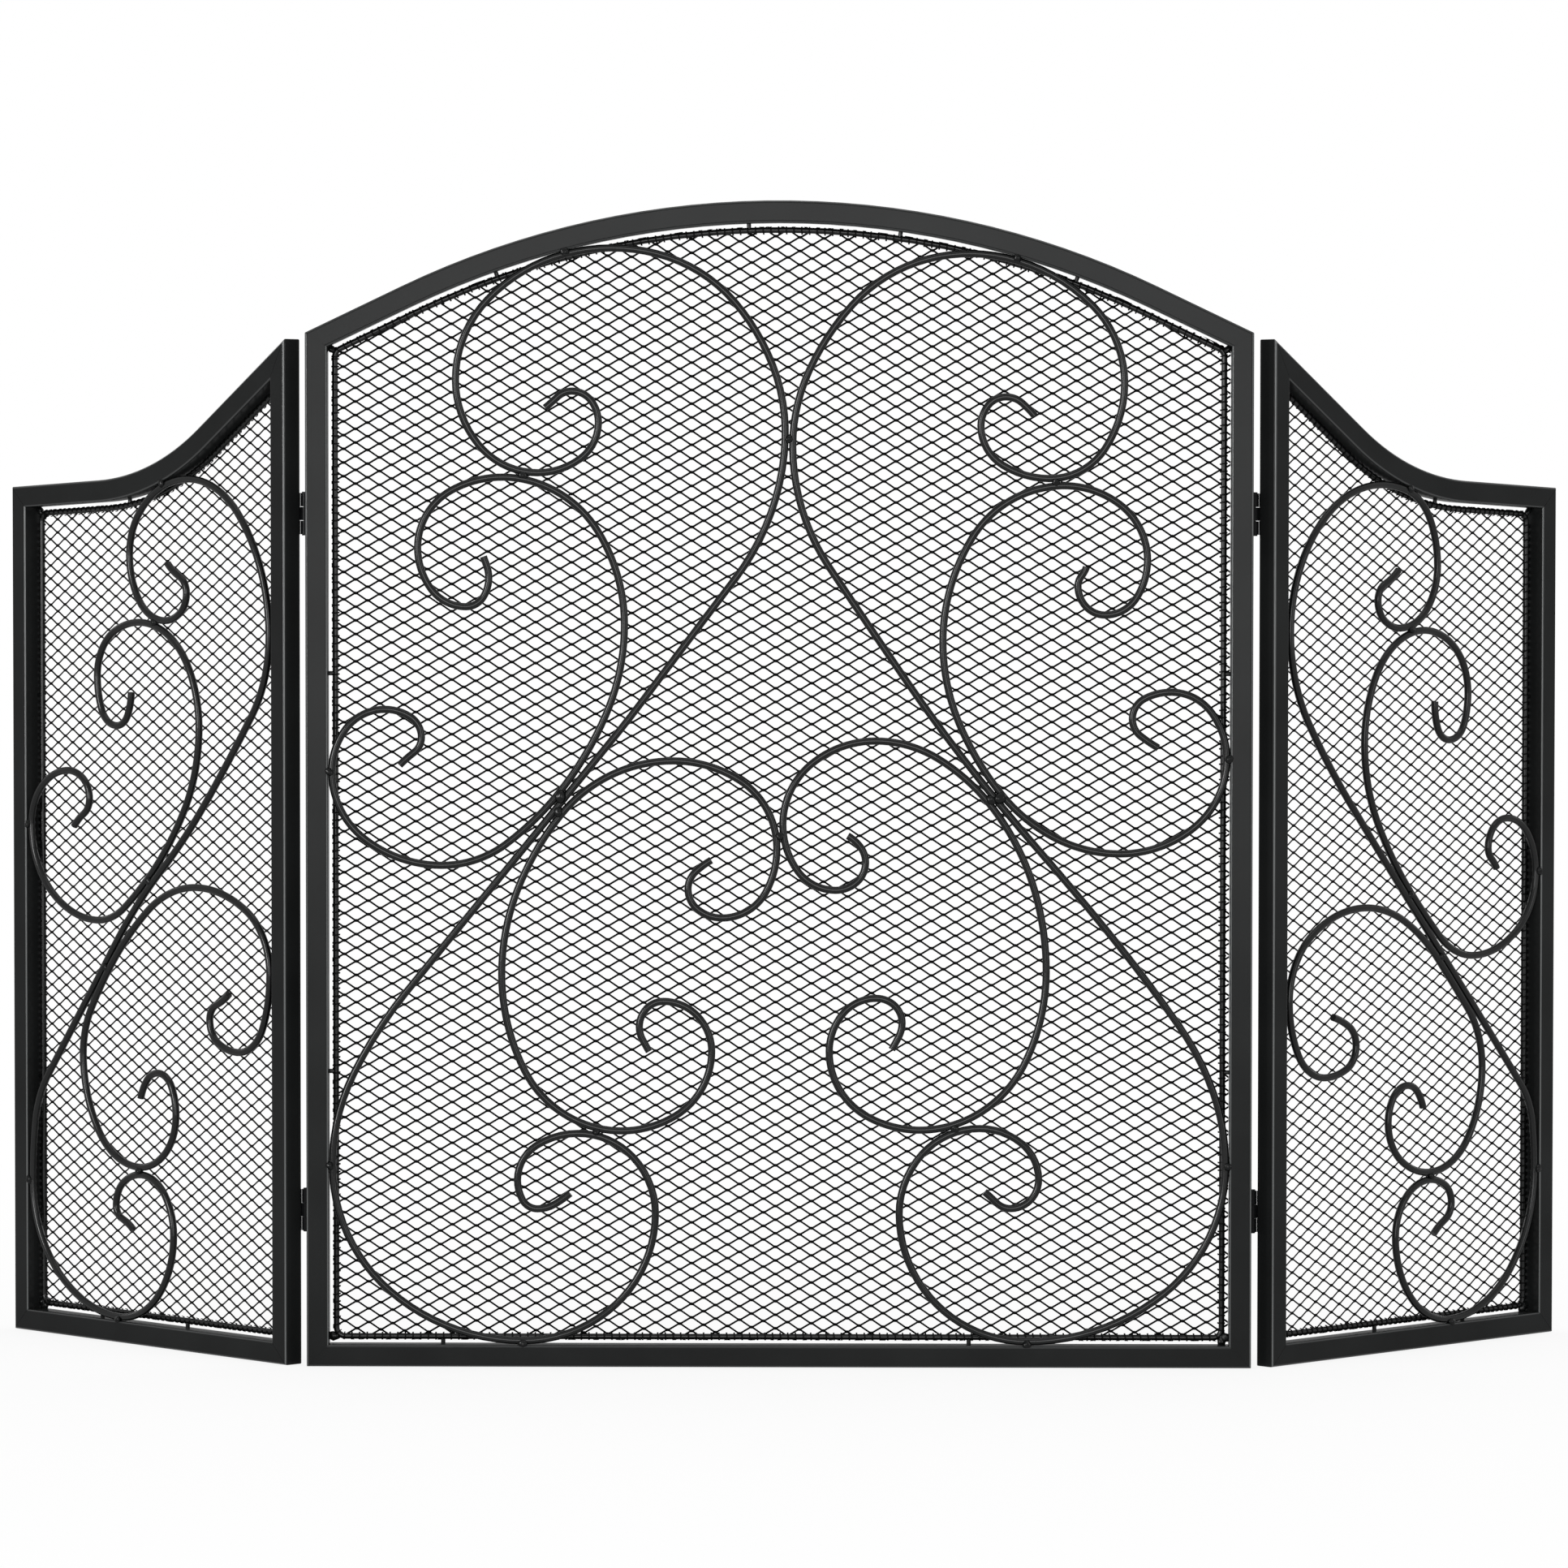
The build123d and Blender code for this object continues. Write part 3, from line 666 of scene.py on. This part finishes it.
def mesh_strand(settings, panel):
    """One period of a slit strand: low bond, rising run, high bond and falling run."""
    if panel.name == "centre":
        width, tilt = settings.strand_width, settings.strand_tilt
        bond, bond_rise = settings.bond_length, settings.bond_rise
    else:
        width, tilt = settings.side_strand_width, settings.side_strand_tilt
        bond, bond_rise = settings.side_bond_length, settings.side_bond_rise
    slope = panel.slope
    run = settings.long_pitch / 2 - bond
    rise = settings.short_pitch / 2 - 2 * bond_rise
    deselect()
    bpy.ops.mesh.primitive_cube_add(
        size=1,
        location=(0, bond_rise, 0),
        rotation=(tilt, 0, 0),
        scale=(bond, width, settings.strand_thickness),
    )
    strand = active_piece("mesh_strand")
    bpy.ops.object.transform_apply(location=True, rotation=True, scale=True)
    bpy.ops.object.mode_set(mode="EDIT")
    bpy.ops.mesh.select_mode(type="FACE")
    select_faces(strand, lambda face: face.normal.x > FACING)
    bpy.ops.transform.translate(value=(0, slope * bond, 0))
    for across, up in ((run, rise), (bond, 0), (run, -rise)):
        bpy.ops.mesh.extrude_region_move(
            TRANSFORM_OT_translate={"value": (across, up + slope * across, 0)}
        )
    ends = (-bond / 2, settings.long_pitch - bond / 2)
    select_faces(
        strand,
        lambda face: abs(face.normal.x) > FACING
        and min(abs(face.calc_center_median().x - end) for end in ends) < MERGE_DISTANCE * MM,
    )
    bpy.ops.mesh.delete(type="FACE")
    bpy.ops.object.mode_set(mode="OBJECT")
    return strand


def repeat(piece, count, offset, merge):
    """Array a piece by a fixed step."""
    array = piece.modifiers.new("rows", "ARRAY")
    array.count = count
    array.use_relative_offset = False
    array.use_constant_offset = True
    array.constant_offset_displace = offset
    array.use_merge_vertices = merge
    array.merge_threshold = MERGE_DISTANCE * MM


def cut(piece, point, normal, wanted=None):
    """Cut away what lies on the outer side of a plane, among the wanted faces."""
    if wanted:
        select_faces(piece, wanted)
    else:
        bpy.ops.mesh.select_all(action="SELECT")
    bpy.ops.mesh.bisect(
        plane_co=point, plane_no=normal, use_fill=False, clear_inner=False, clear_outer=True
    )


def trim_to(piece, line):
    """Cut a flat piece to a closed line, one straight stretch after another."""
    bpy.ops.object.mode_set(mode="EDIT")
    bpy.ops.mesh.select_mode(type="FACE")
    ends = line[1:] + line[:1]
    stretches = [(one, two) for one, two in zip(line, ends) if (two - one).length > TOUCHING * MM]
    for one, two in stretches:
        run = two - one
        out = Vector((run.y, -run.x, 0)).normalized()
        bulges = all((point - one).dot(out.to_2d()) < SAME_EDGE * MM for point in line)
        point = Vector((*one, 0))
        if bulges:
            cut(piece, point, out)
            continue
        low, high = sorted((one.x, two.x))
        for edge in (low, high):
            select_faces(piece, lambda face: near_top(face, one, two, low, high))
            bpy.ops.mesh.bisect(plane_co=(edge, 0, 0), plane_no=(1, 0, 0))
        cut(
            piece,
            point,
            out,
            lambda face: near_top(face, one, two, low, high)
            and low < face.calc_center_median().x < high,
        )
    close_ends(piece)
    bpy.ops.object.mode_set(mode="OBJECT")


def close_ends(piece):
    """Cap the cut strands, first all that one fill can find, then the bent ends one by one."""
    bpy.ops.mesh.select_all(action="SELECT")
    bpy.ops.mesh.delete_loose()
    bpy.ops.mesh.select_all(action="SELECT")
    bpy.ops.mesh.fill_holes(sides=0)
    bpy.ops.mesh.select_mode(type="EDGE")
    tried = set()
    while True:
        bpy.ops.mesh.select_all(action="DESELECT")
        bm = bmesh.from_edit_mesh(piece.data)
        bm.edges.index_update()
        wave = [edge for edge in bm.edges if edge.is_boundary and edge.index not in tried][:1]
        if not wave:
            break
        while wave:
            edge = wave.pop()
            edge.select_set(True)
            tried.add(edge.index)
            for vert in edge.verts:
                wave += [
                    other
                    for other in vert.link_edges
                    if other.is_boundary and other.index not in tried
                ]
        bmesh.update_edit_mesh(piece.data)
        bpy.ops.mesh.edge_face_add()


def near_top(face, one, two, low, high):
    """Whether a face lies near or above a stretch of a hollow top edge."""
    middle = face.calc_center_median()
    reach = TRIM_REACH * MM
    return low - reach < middle.x < high + reach and middle.y > min(one.y, two.y) - reach


class SCREEN_OT_mesh(bpy.types.Operator):
    """Make the expanded steel mesh of every panel, cut to its wire frame."""

    bl_idname = "screen.mesh"
    bl_label = "Expanded Mesh"

    def execute(self, context):
        settings = context.scene.screen_mesh
        coat = finishes()["satin powder coat on mesh"]
        for panel in panels():
            line = self.cut_line(settings, panel)
            sheet = self.uncut_sheet(settings, panel, line)
            trim_to(sheet, line)
            put_material(sheet, coat)
            panel.to_screen(sheet, -WIRE_SETBACK)
            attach(sheet, panel.body)
            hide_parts(f"{panel.name}_mesh")
        return {"FINISHED"}

    def cut_line(self, settings, panel):
        """Closed line, a little outside the wire, where the sheet is cut."""
        wire = [point * MM for point in panel.line(WIRE_LINE, 0)]
        line = [self.outwards(wire, place, settings.cut_past) for place in range(len(wire))]
        if panel.name == "centre":
            self.pull_right(line, (WIRE_GAP - POST_CLEARANCE) * MM)
        return line

    @staticmethod
    def uncut_sheet(settings, panel, line):
        """Strands in rows over all that a closed line goes round."""
        low = Vector([min(places) for places in zip(*line)])
        high = Vector([max(places) for places in zip(*line)])
        long, short = settings.long_pitch, settings.short_pitch
        width = high.x - low.x
        lean = panel.slope * width
        columns = ceil(width / long) + 2
        rows = ceil((high.y - low.y + abs(lean)) / short) + 2
        sheet = mesh_strand(settings, panel)
        sheet.name = f"{panel.name}_expanded_mesh"
        repeat(sheet, columns, (long, panel.slope * long, 0), True)
        repeat(sheet, 2, (long / 2, short / 2 + panel.slope * long / 2, 0), False)
        repeat(sheet, rows, (0, short, 0), False)
        apply_modifiers(sheet)
        start = Vector((low.x - long, low.y - short - max(lean, 0), 0))
        sheet.data.transform(Matrix.Translation(start))
        return sheet

    @staticmethod
    def pull_right(line, distance):
        """Move the right edge of a closed line outwards, where strand ends reach the post."""
        edge = max(point.x for point in line)
        for point in line:
            if edge - point.x < SAME_EDGE * MM:
                point.x += distance

    @staticmethod
    def outwards(line, place, distance):
        """Point of a closed line moved outwards from the line."""
        before, here, after = line[place - 1], line[place], line[(place + 1) % len(line)]
        one = (here - before).normalized()
        two = (after - here).normalized()
        out_one = Vector((one.y, -one.x))
        out_two = Vector((two.y, -two.x))
        return here + (out_one + out_two) * (distance / (1 + out_one.dot(out_two)))


class SCREEN_OT_crimps(bpy.types.Operator):
    """Fold the cut ends of the mesh round the wire frames."""

    bl_idname = "screen.crimps"
    bl_label = "Mesh Crimps"

    def execute(self, context):
        settings = context.scene.screen_weld
        coat = finishes()["satin powder coat on mesh"]
        for panel in panels():
            points = panel.line(WIRE_LINE, WIRE_BEND)
            path = self.wire_path(points)
            crimp = self.crimp(settings)
            crimp.name = f"{panel.name}_mesh_crimps"
            array = crimp.modifiers.new("along the wire", "ARRAY")
            array.fit_type = "FIT_CURVE"
            array.curve = path
            array.use_relative_offset = False
            array.use_constant_offset = True
            array.constant_offset_displace = (settings.crimp_pitch, 0, 0)
            bend = crimp.modifiers.new("round the frame", "CURVE")
            bend.object = path
            bend.deform_axis = "POS_X"
            apply_modifiers(crimp)
            bpy.data.objects.remove(path, do_unlink=True)
            bpy.ops.object.shade_smooth_by_angle(angle=CRIMP_ROUND)
            put_material(crimp, coat)
            if panel.name != "centre":
                tongues = self.tongues(settings)
                put_material(tongues, coat)
                crimp = join_pieces([crimp, tongues], crimp.name)
            panel.to_screen(crimp, -WIRE_SETBACK)
            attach(crimp, panel.body)
        return {"FINISHED"}

    @staticmethod
    def tongues(settings):
        """Cut strand ends that stand out from a side panel's wire as far as its outer post."""
        low = TUBE_SIZE + 2 * WIRE_GAP
        high = OUTER_SIDE_HEIGHT - TUBE_SIZE - 2 * WIRE_GAP
        length = (WIRE_GAP + TONGUE_OVERLAP) * MM
        pitch = settings.tongue_pitch
        deselect()
        bpy.ops.mesh.primitive_cube_add(
            size=1,
            location=((SIDE_WIDTH - TUBE_SIZE - WIRE_GAP / 2) * MM, low * MM, 0),
            rotation=TONGUE_TURN,
            scale=(length, pitch * TONGUE_SHARE, settings.crimp_thickness),
        )
        tongue = active_piece("mesh_tongues")
        bpy.ops.object.transform_apply(location=True, rotation=True, scale=True)
        bpy.ops.object.mode_set(mode="EDIT")
        bpy.ops.mesh.select_mode(type="FACE")
        select_faces(tongue, lambda face: face.normal.x > FACING)
        bpy.ops.transform.resize(value=(1, TONGUE_TAPER, 1))
        bpy.ops.object.mode_set(mode="OBJECT")
        repeat(tongue, int((high - low) * MM / pitch), (0, pitch, 0), False)
        apply_modifiers(tongue)
        return tongue

    @staticmethod
    def wire_path(points):
        """Closed flat curve along the middle of a wire frame."""
        curve = bpy.data.curves.new("wire_path", "CURVE")
        curve.dimensions = "2D"
        spline = curve.splines.new("POLY")
        spline.points.add(len(points) - 1)
        for spot, point in zip(spline.points, points):
            spot.co = (point.x * MM, point.y * MM, 0, 1)
        spline.use_cyclic_u = True
        path = bpy.data.objects.new("wire_path", curve)
        bpy.context.collection.objects.link(path)
        return path

    @staticmethod
    def crimp(settings):
        """One strand end, folded three quarters round the wire, with its cut tip standing off."""
        ring = WIRE_DIAMETER / 2 * MM + settings.crimp_thickness / 2
        deselect()
        bpy.ops.mesh.primitive_cylinder_add(
            vertices=CRIMP_SIDES,
            radius=ring + settings.crimp_thickness / 2,
            depth=settings.crimp_width,
            end_fill_type="NOTHING",
            rotation=(0, pi / 2, 0),
        )
        crimp = active_piece("mesh_crimp")
        bpy.ops.object.transform_apply(location=True, rotation=True, scale=True)
        bpy.ops.object.mode_set(mode="EDIT")
        bpy.ops.mesh.select_mode(type="FACE")
        select_faces(crimp, lambda face: max(face.normal.y, face.normal.z) < -LEANING)
        bpy.ops.mesh.delete(type="FACE")
        select_faces(crimp, lambda face: face.normal.y < -FACING)
        bpy.ops.transform.translate(value=[part * MM for part in CRIMP_TIP_SHIFT])
        bpy.ops.object.mode_set(mode="OBJECT")
        solid = crimp.modifiers.new("sheet", "SOLIDIFY")
        solid.thickness = settings.crimp_thickness
        solid.offset = -1
        apply_modifiers(crimp)
        return crimp


def loose_centres(node):
    """Middle of every separate solid of a node, from its own mesh."""
    bm = bmesh.new()
    bm.from_mesh(frame["nodes"][node].data)
    bmesh.ops.remove_doubles(bm, verts=bm.verts, dist=TOUCHING * MM)
    left = set(bm.verts)
    centres = []
    while left:
        wave = [left.pop()]
        group = list(wave)
        while wave:
            vert = wave.pop()
            for edge in vert.link_edges:
                other = edge.other_vert(vert)
                if other in left:
                    left.discard(other)
                    wave.append(other)
                    group.append(other)
        low = Vector([min(vert.co[axis] for vert in group) for axis in range(3)])
        high = Vector([max(vert.co[axis] for vert in group) for axis in range(3)])
        centres.append((low + high) / 2)
    bm.free()
    return sorted(centres, key=lambda centre: (round(centre.z, 4), round(centre.x, 4)))


class SCREEN_OT_welds(bpy.types.Operator):
    """Melt a weld bead over every place where rods are joined."""

    bl_idname = "screen.welds"
    bl_label = "Weld Beads"

    def execute(self, context):
        settings = context.scene.screen_weld
        coat = finishes()["powder coat over weld"]
        for panel in panels():
            node = f"{panel.name}_scroll_welds"
            front = (panel.matrix.to_3x3() @ Vector((0, 0, panel.side))).normalized()
            beads = []
            usual = Vector((settings.bead_length, settings.bead_height, settings.bead_depth))
            centres = loose_centres(node)
            for centre in centres:
                size = usual * self.bead_share(centre, centres)
                seat = centre - front * BEAD_SINK * MM
                count = len(beads)
                beads.append(self.bead(settings, panel, seat, size, count * BEAD_TURN, count))
            for centre, size, turn in self.corner_webs(panel):
                beads.append(self.bead(settings, panel, centre, size, turn, len(beads)))
            piece = join_pieces(beads, f"{panel.name}_weld_beads")
            bpy.ops.object.shade_smooth()
            put_material(piece, coat)
            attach(piece, panel.body)
            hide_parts(node)
        return {"FINISHED"}

    @staticmethod
    def bead_share(centre, centres):
        """How large a bead is: more metal where two lie close, most on the upper one."""
        distances = [(spot, (spot - centre).length) for spot in centres]
        near = [spot for spot, distance in distances if 0 < distance < BEAD_NEIGHBOUR * MM]
        if not near:
            return 1
        return UPPER_BEAD if all(centre.z > spot.z for spot in near) else LOWER_BEAD

    @staticmethod
    def corner_webs(panel):
        """Places, sizes and turns of the welds that join wire corners to the tubes."""
        tube_corners = panel.inset(TUBE_SIZE)
        wire_corners = panel.inset(WIRE_LINE, panel.lift)
        joined = (
            (FOOT_IN, "across"),
            (FOOT_OUT, "across"),
            (FOOT_OUT, "up"),
            (TOP_OUT, "both"),
            (TOP_IN, "both"),
        )
        webs = []
        for place, ways in joined:
            reach = wire_corners[place] - tube_corners[place]
            if ways == "across":
                reach.y = 0
            elif ways == "up":
                reach.x = 0
            middle = wire_corners[place] - reach / 2
            flat = Vector((*middle, -panel.side * WIRE_SETBACK)) * MM
            height = SLANT_WEB_HEIGHT if ways == "both" else WEB_HEIGHT
            size = Vector((reach.length + WEB_OVERLAP, height, WEB_DEPTH)) * MM
            webs.append((panel.matrix @ flat, size, atan2(reach.y, reach.x)))
        return webs

    @staticmethod
    def bead(settings, panel, centre, size, angle, count):
        """One uneven bead, flattened against the rods."""
        deselect()
        bpy.ops.mesh.primitive_ico_sphere_add(subdivisions=3, radius=0.5, scale=size)
        bead = active_piece("weld_bead")
        bpy.ops.object.transform_apply(location=True, rotation=True, scale=True)
        step = Vector((count * BEAD_STEP, panel.side * SIDE_STEP, 0))
        for vert in bead.data.vertices:
            sample = vert.co * BEAD_LUMPS + step
            vert.co += vert.normal * settings.bead_roughness * noise.noise(sample) * BEAD_SWING
        turn = Matrix.Rotation(angle, 4, "Z")
        bead.data.transform(Matrix.Translation(centre) @ panel.matrix.to_3x3().to_4x4() @ turn)
        return bead


class SCREEN_OT_mitres(bpy.types.Operator):
    """Close the mitres of the tubes with welds that are ground back flush."""

    bl_idname = "screen.mitres"
    bl_label = "Mitre Welds"

    def execute(self, context):
        settings = context.scene.screen_weld
        for panel in panels():
            coat = finishes()[f"satin powder coat on {panel.name} tube"]
            inner_corners = panel.inset(TUBE_SIZE)
            welds = []
            for place in MITRED:
                run = inner_corners[place] - panel.outline[place]
                weld = self.weld(settings, run.length * MM)
                middle = (inner_corners[place] + panel.outline[place]) / 2
                turn = Matrix.Rotation(atan2(run.y, run.x), 4, "Z")
                shift = Matrix.Translation((*middle * MM, 0))
                weld.data.transform(panel.matrix @ shift @ turn)
                welds.append(weld)
            piece = join_pieces(welds, f"{panel.name}_mitre_welds")
            put_material(piece, coat)
            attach(piece, panel.body)
        return {"FINISHED"}

    @staticmethod
    def weld(settings, length):
        """Thin web in a mitre, a little below the tube's faces and more so at its slanting ends."""
        sunk = settings.mitre_depth
        deselect()
        bpy.ops.mesh.primitive_cube_add(
            size=1,
            scale=(length - 4 * sunk, settings.mitre_width, TUBE_SIZE * MM - 2 * sunk),
        )
        weld = active_piece("mitre_weld")
        bpy.ops.object.transform_apply(location=True, rotation=True, scale=True)
        bpy.ops.object.mode_set(mode="EDIT")
        bpy.ops.mesh.select_mode(type="EDGE")
        bm = bmesh.from_edit_mesh(weld.data)
        for edge in bm.edges:
            run = edge.verts[1].co - edge.verts[0].co
            edge.select_set(abs(run.y) > 0.5 * settings.mitre_width)
        bmesh.update_edit_mesh(weld.data)
        bpy.ops.mesh.bevel(offset=MITRE_ROUNDING * MM, segments=3)
        bpy.ops.object.mode_set(mode="OBJECT")
        return weld


class SCREEN_OT_shoulders(bpy.types.Operator):
    """Turn up the edge of every side leaf beside the two knuckles that it faces."""

    bl_idname = "screen.shoulders"
    bl_label = "Hinge Shoulders"

    def execute(self, context):
        coat = finishes()["satin powder coat on hinge"]
        for panel in panels()[1:]:
            shoulders = []
            for hinge in ("upper", "lower"):
                low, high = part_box(f"{panel.name}_{hinge}_hinge_side_leaf")
                third = (high[2] - low[2]) / 3
                for start in (low[2], high[2] - third):
                    shoulders.append(self.shoulder(panel, start, third))
            piece = join_pieces(shoulders, f"{panel.name}_hinge_shoulders")
            put_material(piece, coat)
            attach(piece, panel.body)
        return {"FINISHED"}

    @staticmethod
    def shoulder(panel, start, height):
        """Small rounded lip between the post and a knuckle."""
        low, high, deep = SHOULDER_FROM * MM, SHOULDER_TO * MM, SHOULDER_DEPTH * MM
        deselect()
        bpy.ops.mesh.primitive_cube_add(
            size=1,
            location=(
                (low + high) / 2,
                start + height / 2,
                -panel.side * (TUBE_SIZE / 2 * MM + deep / 2),
            ),
            scale=(high - low, height, deep),
        )
        shoulder = active_piece("hinge_shoulder")
        bpy.ops.object.transform_apply(location=True, rotation=True, scale=True)
        bpy.ops.object.mode_set(mode="EDIT")
        bpy.ops.mesh.select_all(action="SELECT")
        bpy.ops.mesh.bevel(offset=SHOULDER_ROUNDING * MM, segments=2)
        bpy.ops.object.mode_set(mode="OBJECT")
        shoulder.data.transform(panel.matrix)
        return shoulder


class SCREEN_OT_finish(bpy.types.Operator):
    """Coat the tubes, rods, wires and hinges."""

    bl_idname = "screen.finish"
    bl_label = "Powder Coat"

    def execute(self, context):
        coats = finishes()
        kinds = {
            "wire_steel": "rod",
            "scroll_steel": "rod",
            "hinge_steel": "hinge",
            "mesh_steel": "mesh",
        }
        for part in frame["record"]["subparts"]:
            node = part["node"]
            tube = f"{node.split('_')[0]} tube"
            kind = kinds.get(part["material_slot"], tube)
            put_material(frame["nodes"][node], coats[f"satin powder coat on {kind}"])
        return {"FINISHED"}


class SCREEN_OT_stage(bpy.types.Operator):
    """Set the floor, the soft studio light and the camera."""

    bl_idname = "screen.stage"
    bl_label = "Stage"

    def execute(self, context):
        settings = context.scene.screen_stage
        self.floor(settings)
        self.world()
        for name, (setting, share, place, height, size) in LAMPS.items():
            power = getattr(settings, setting) * share
            lamp = self.lamp(name, place, (0, 0, height), size, power)
            lamp.visible_diffuse = setting != "glint_power"
        self.camera(settings)
        return {"FINISHED"}

    @staticmethod
    def floor(settings):
        """Pale floor that fades into the white background."""
        deselect()
        bpy.ops.mesh.primitive_circle_add(
            vertices=FLOOR_SIDES, radius=FLOOR_RADIUS, fill_type="NGON"
        )
        floor = active_piece("pale_floor")
        floor.data.transform(Matrix.Translation((0, 0, -FLOOR_DROP)))
        material, tree, output = new_material("pale matt floor")
        place = add_node(tree, "ShaderNodeTexCoord").outputs["Object"]
        reach = add_node(tree, "ShaderNodeVectorMath", {0: place}, operation="LENGTH")
        fade = add_node(
            tree,
            "ShaderNodeMapRange",
            {
                "Value": reach.outputs["Value"],
                "From Min": FADE_FROM,
                "From Max": FADE_TO,
                "To Min": FADE_LEAST,
            },
            interpolation_type="SMOOTHSTEP",
        )
        share = add_node(
            tree,
            "ShaderNodeMath",
            {0: fade.outputs["Result"], 1: seen_rays(tree)},
            operation="MULTIPLY",
        )
        matt = add_node(tree, "ShaderNodeBsdfDiffuse", {"Color": (*settings.floor_colour, 1)})
        white = add_node(tree, "ShaderNodeEmission", {"Color": (1, 1, 1, 1), "Strength": 1.0})
        mixed = add_node(
            tree,
            "ShaderNodeMixShader",
            {0: share.outputs[0], 1: matt.outputs[0], 2: white.outputs[0]},
        )
        tree.links.new(mixed.outputs[0], output.inputs["Surface"])
        put_material(floor, material)

    @staticmethod
    def world():
        """White surroundings, which light the screen at a plain level."""
        world = bpy.data.worlds.new("white studio")
        bpy.context.scene.world = world
        world.use_nodes = True
        tree = world.node_tree
        tree.nodes.clear()
        strength = add_node(
            tree,
            "ShaderNodeMapRange",
            {"Value": seen_rays(tree), "To Min": AMBIENT, "To Max": 1.0},
        )
        glow = add_node(
            tree,
            "ShaderNodeBackground",
            {"Color": (1, 1, 1, 1), "Strength": strength.outputs["Result"]},
        )
        output = add_node(tree, "ShaderNodeOutputWorld", {"Surface": glow.outputs[0]})
        output.is_active_output = True

    @staticmethod
    def lamp(name, place, target, size, power):
        """Soft light of a given width and height, aimed at a point."""
        data = bpy.data.lights.new(name, "AREA")
        data.energy = power
        data.shape = "RECTANGLE"
        data.size, data.size_y = size
        lamp = bpy.data.objects.new(name, data)
        bpy.context.collection.objects.link(lamp)
        lamp.location = place
        aim = Vector(target) - Vector(place)
        lamp.rotation_euler = aim.to_track_quat("-Z", "Y").to_euler()
        return lamp

    @staticmethod
    def camera(settings):
        """Long lens from the front, a little above the middle of the screen."""
        data = bpy.data.cameras.new("front camera")
        data.lens = settings.lens
        data.sensor_width = SENSOR_WIDTH
        data.clip_end = CAMERA_REACH
        camera = bpy.data.objects.new("front camera", data)
        bpy.context.collection.objects.link(camera)
        camera.location = CAMERA_PLACE
        camera.rotation_euler = CAMERA_TURN
        bpy.context.scene.camera = camera
        bpy.context.scene.view_settings.view_transform = "Standard"


class SCREEN_PT_panel(bpy.types.Panel):
    """Sizes, colours and steps of the fireplace screen."""

    bl_idname = "SCREEN_PT_panel"
    bl_label = "Fireplace Screen"
    bl_space_type = "VIEW_3D"
    bl_region_type = "UI"
    bl_category = "Fireplace Screen"

    def draw(self, context):
        for group in ("screen_mesh", "screen_weld", "screen_finish", "screen_stage"):
            settings = getattr(context.scene, group)
            box = self.layout.box()
            for name in settings.__annotations__:
                box.prop(settings, name)
        for operator in OPERATORS:
            self.layout.operator(operator.bl_idname)


GROUPS = {
    "screen_mesh": ScreenMeshSettings,
    "screen_weld": ScreenWeldSettings,
    "screen_finish": ScreenFinishSettings,
    "screen_stage": ScreenStageSettings,
}
OPERATORS = (
    SCREEN_OT_finish,
    SCREEN_OT_mesh,
    SCREEN_OT_crimps,
    SCREEN_OT_welds,
    SCREEN_OT_mitres,
    SCREEN_OT_shoulders,
    SCREEN_OT_stage,
)


def register():
    for name, group in GROUPS.items():
        bpy.utils.register_class(group)
        setattr(bpy.types.Scene, name, PointerProperty(type=group))
    for operator in OPERATORS:
        bpy.utils.register_class(operator)
    bpy.utils.register_class(SCREEN_PT_panel)


def unregister():
    bpy.utils.unregister_class(SCREEN_PT_panel)
    for operator in reversed(OPERATORS):
        bpy.utils.unregister_class(operator)
    for name, group in reversed(GROUPS.items()):
        delattr(bpy.types.Scene, name)
        bpy.utils.unregister_class(group)


def main():
    register()
    bpy.ops.screen.finish()
    bpy.ops.screen.mesh()
    bpy.ops.screen.crimps()
    bpy.ops.screen.welds()
    bpy.ops.screen.mitres()
    bpy.ops.screen.shoulders()
    bpy.ops.screen.stage()


if __name__ == "__main__":
    main()
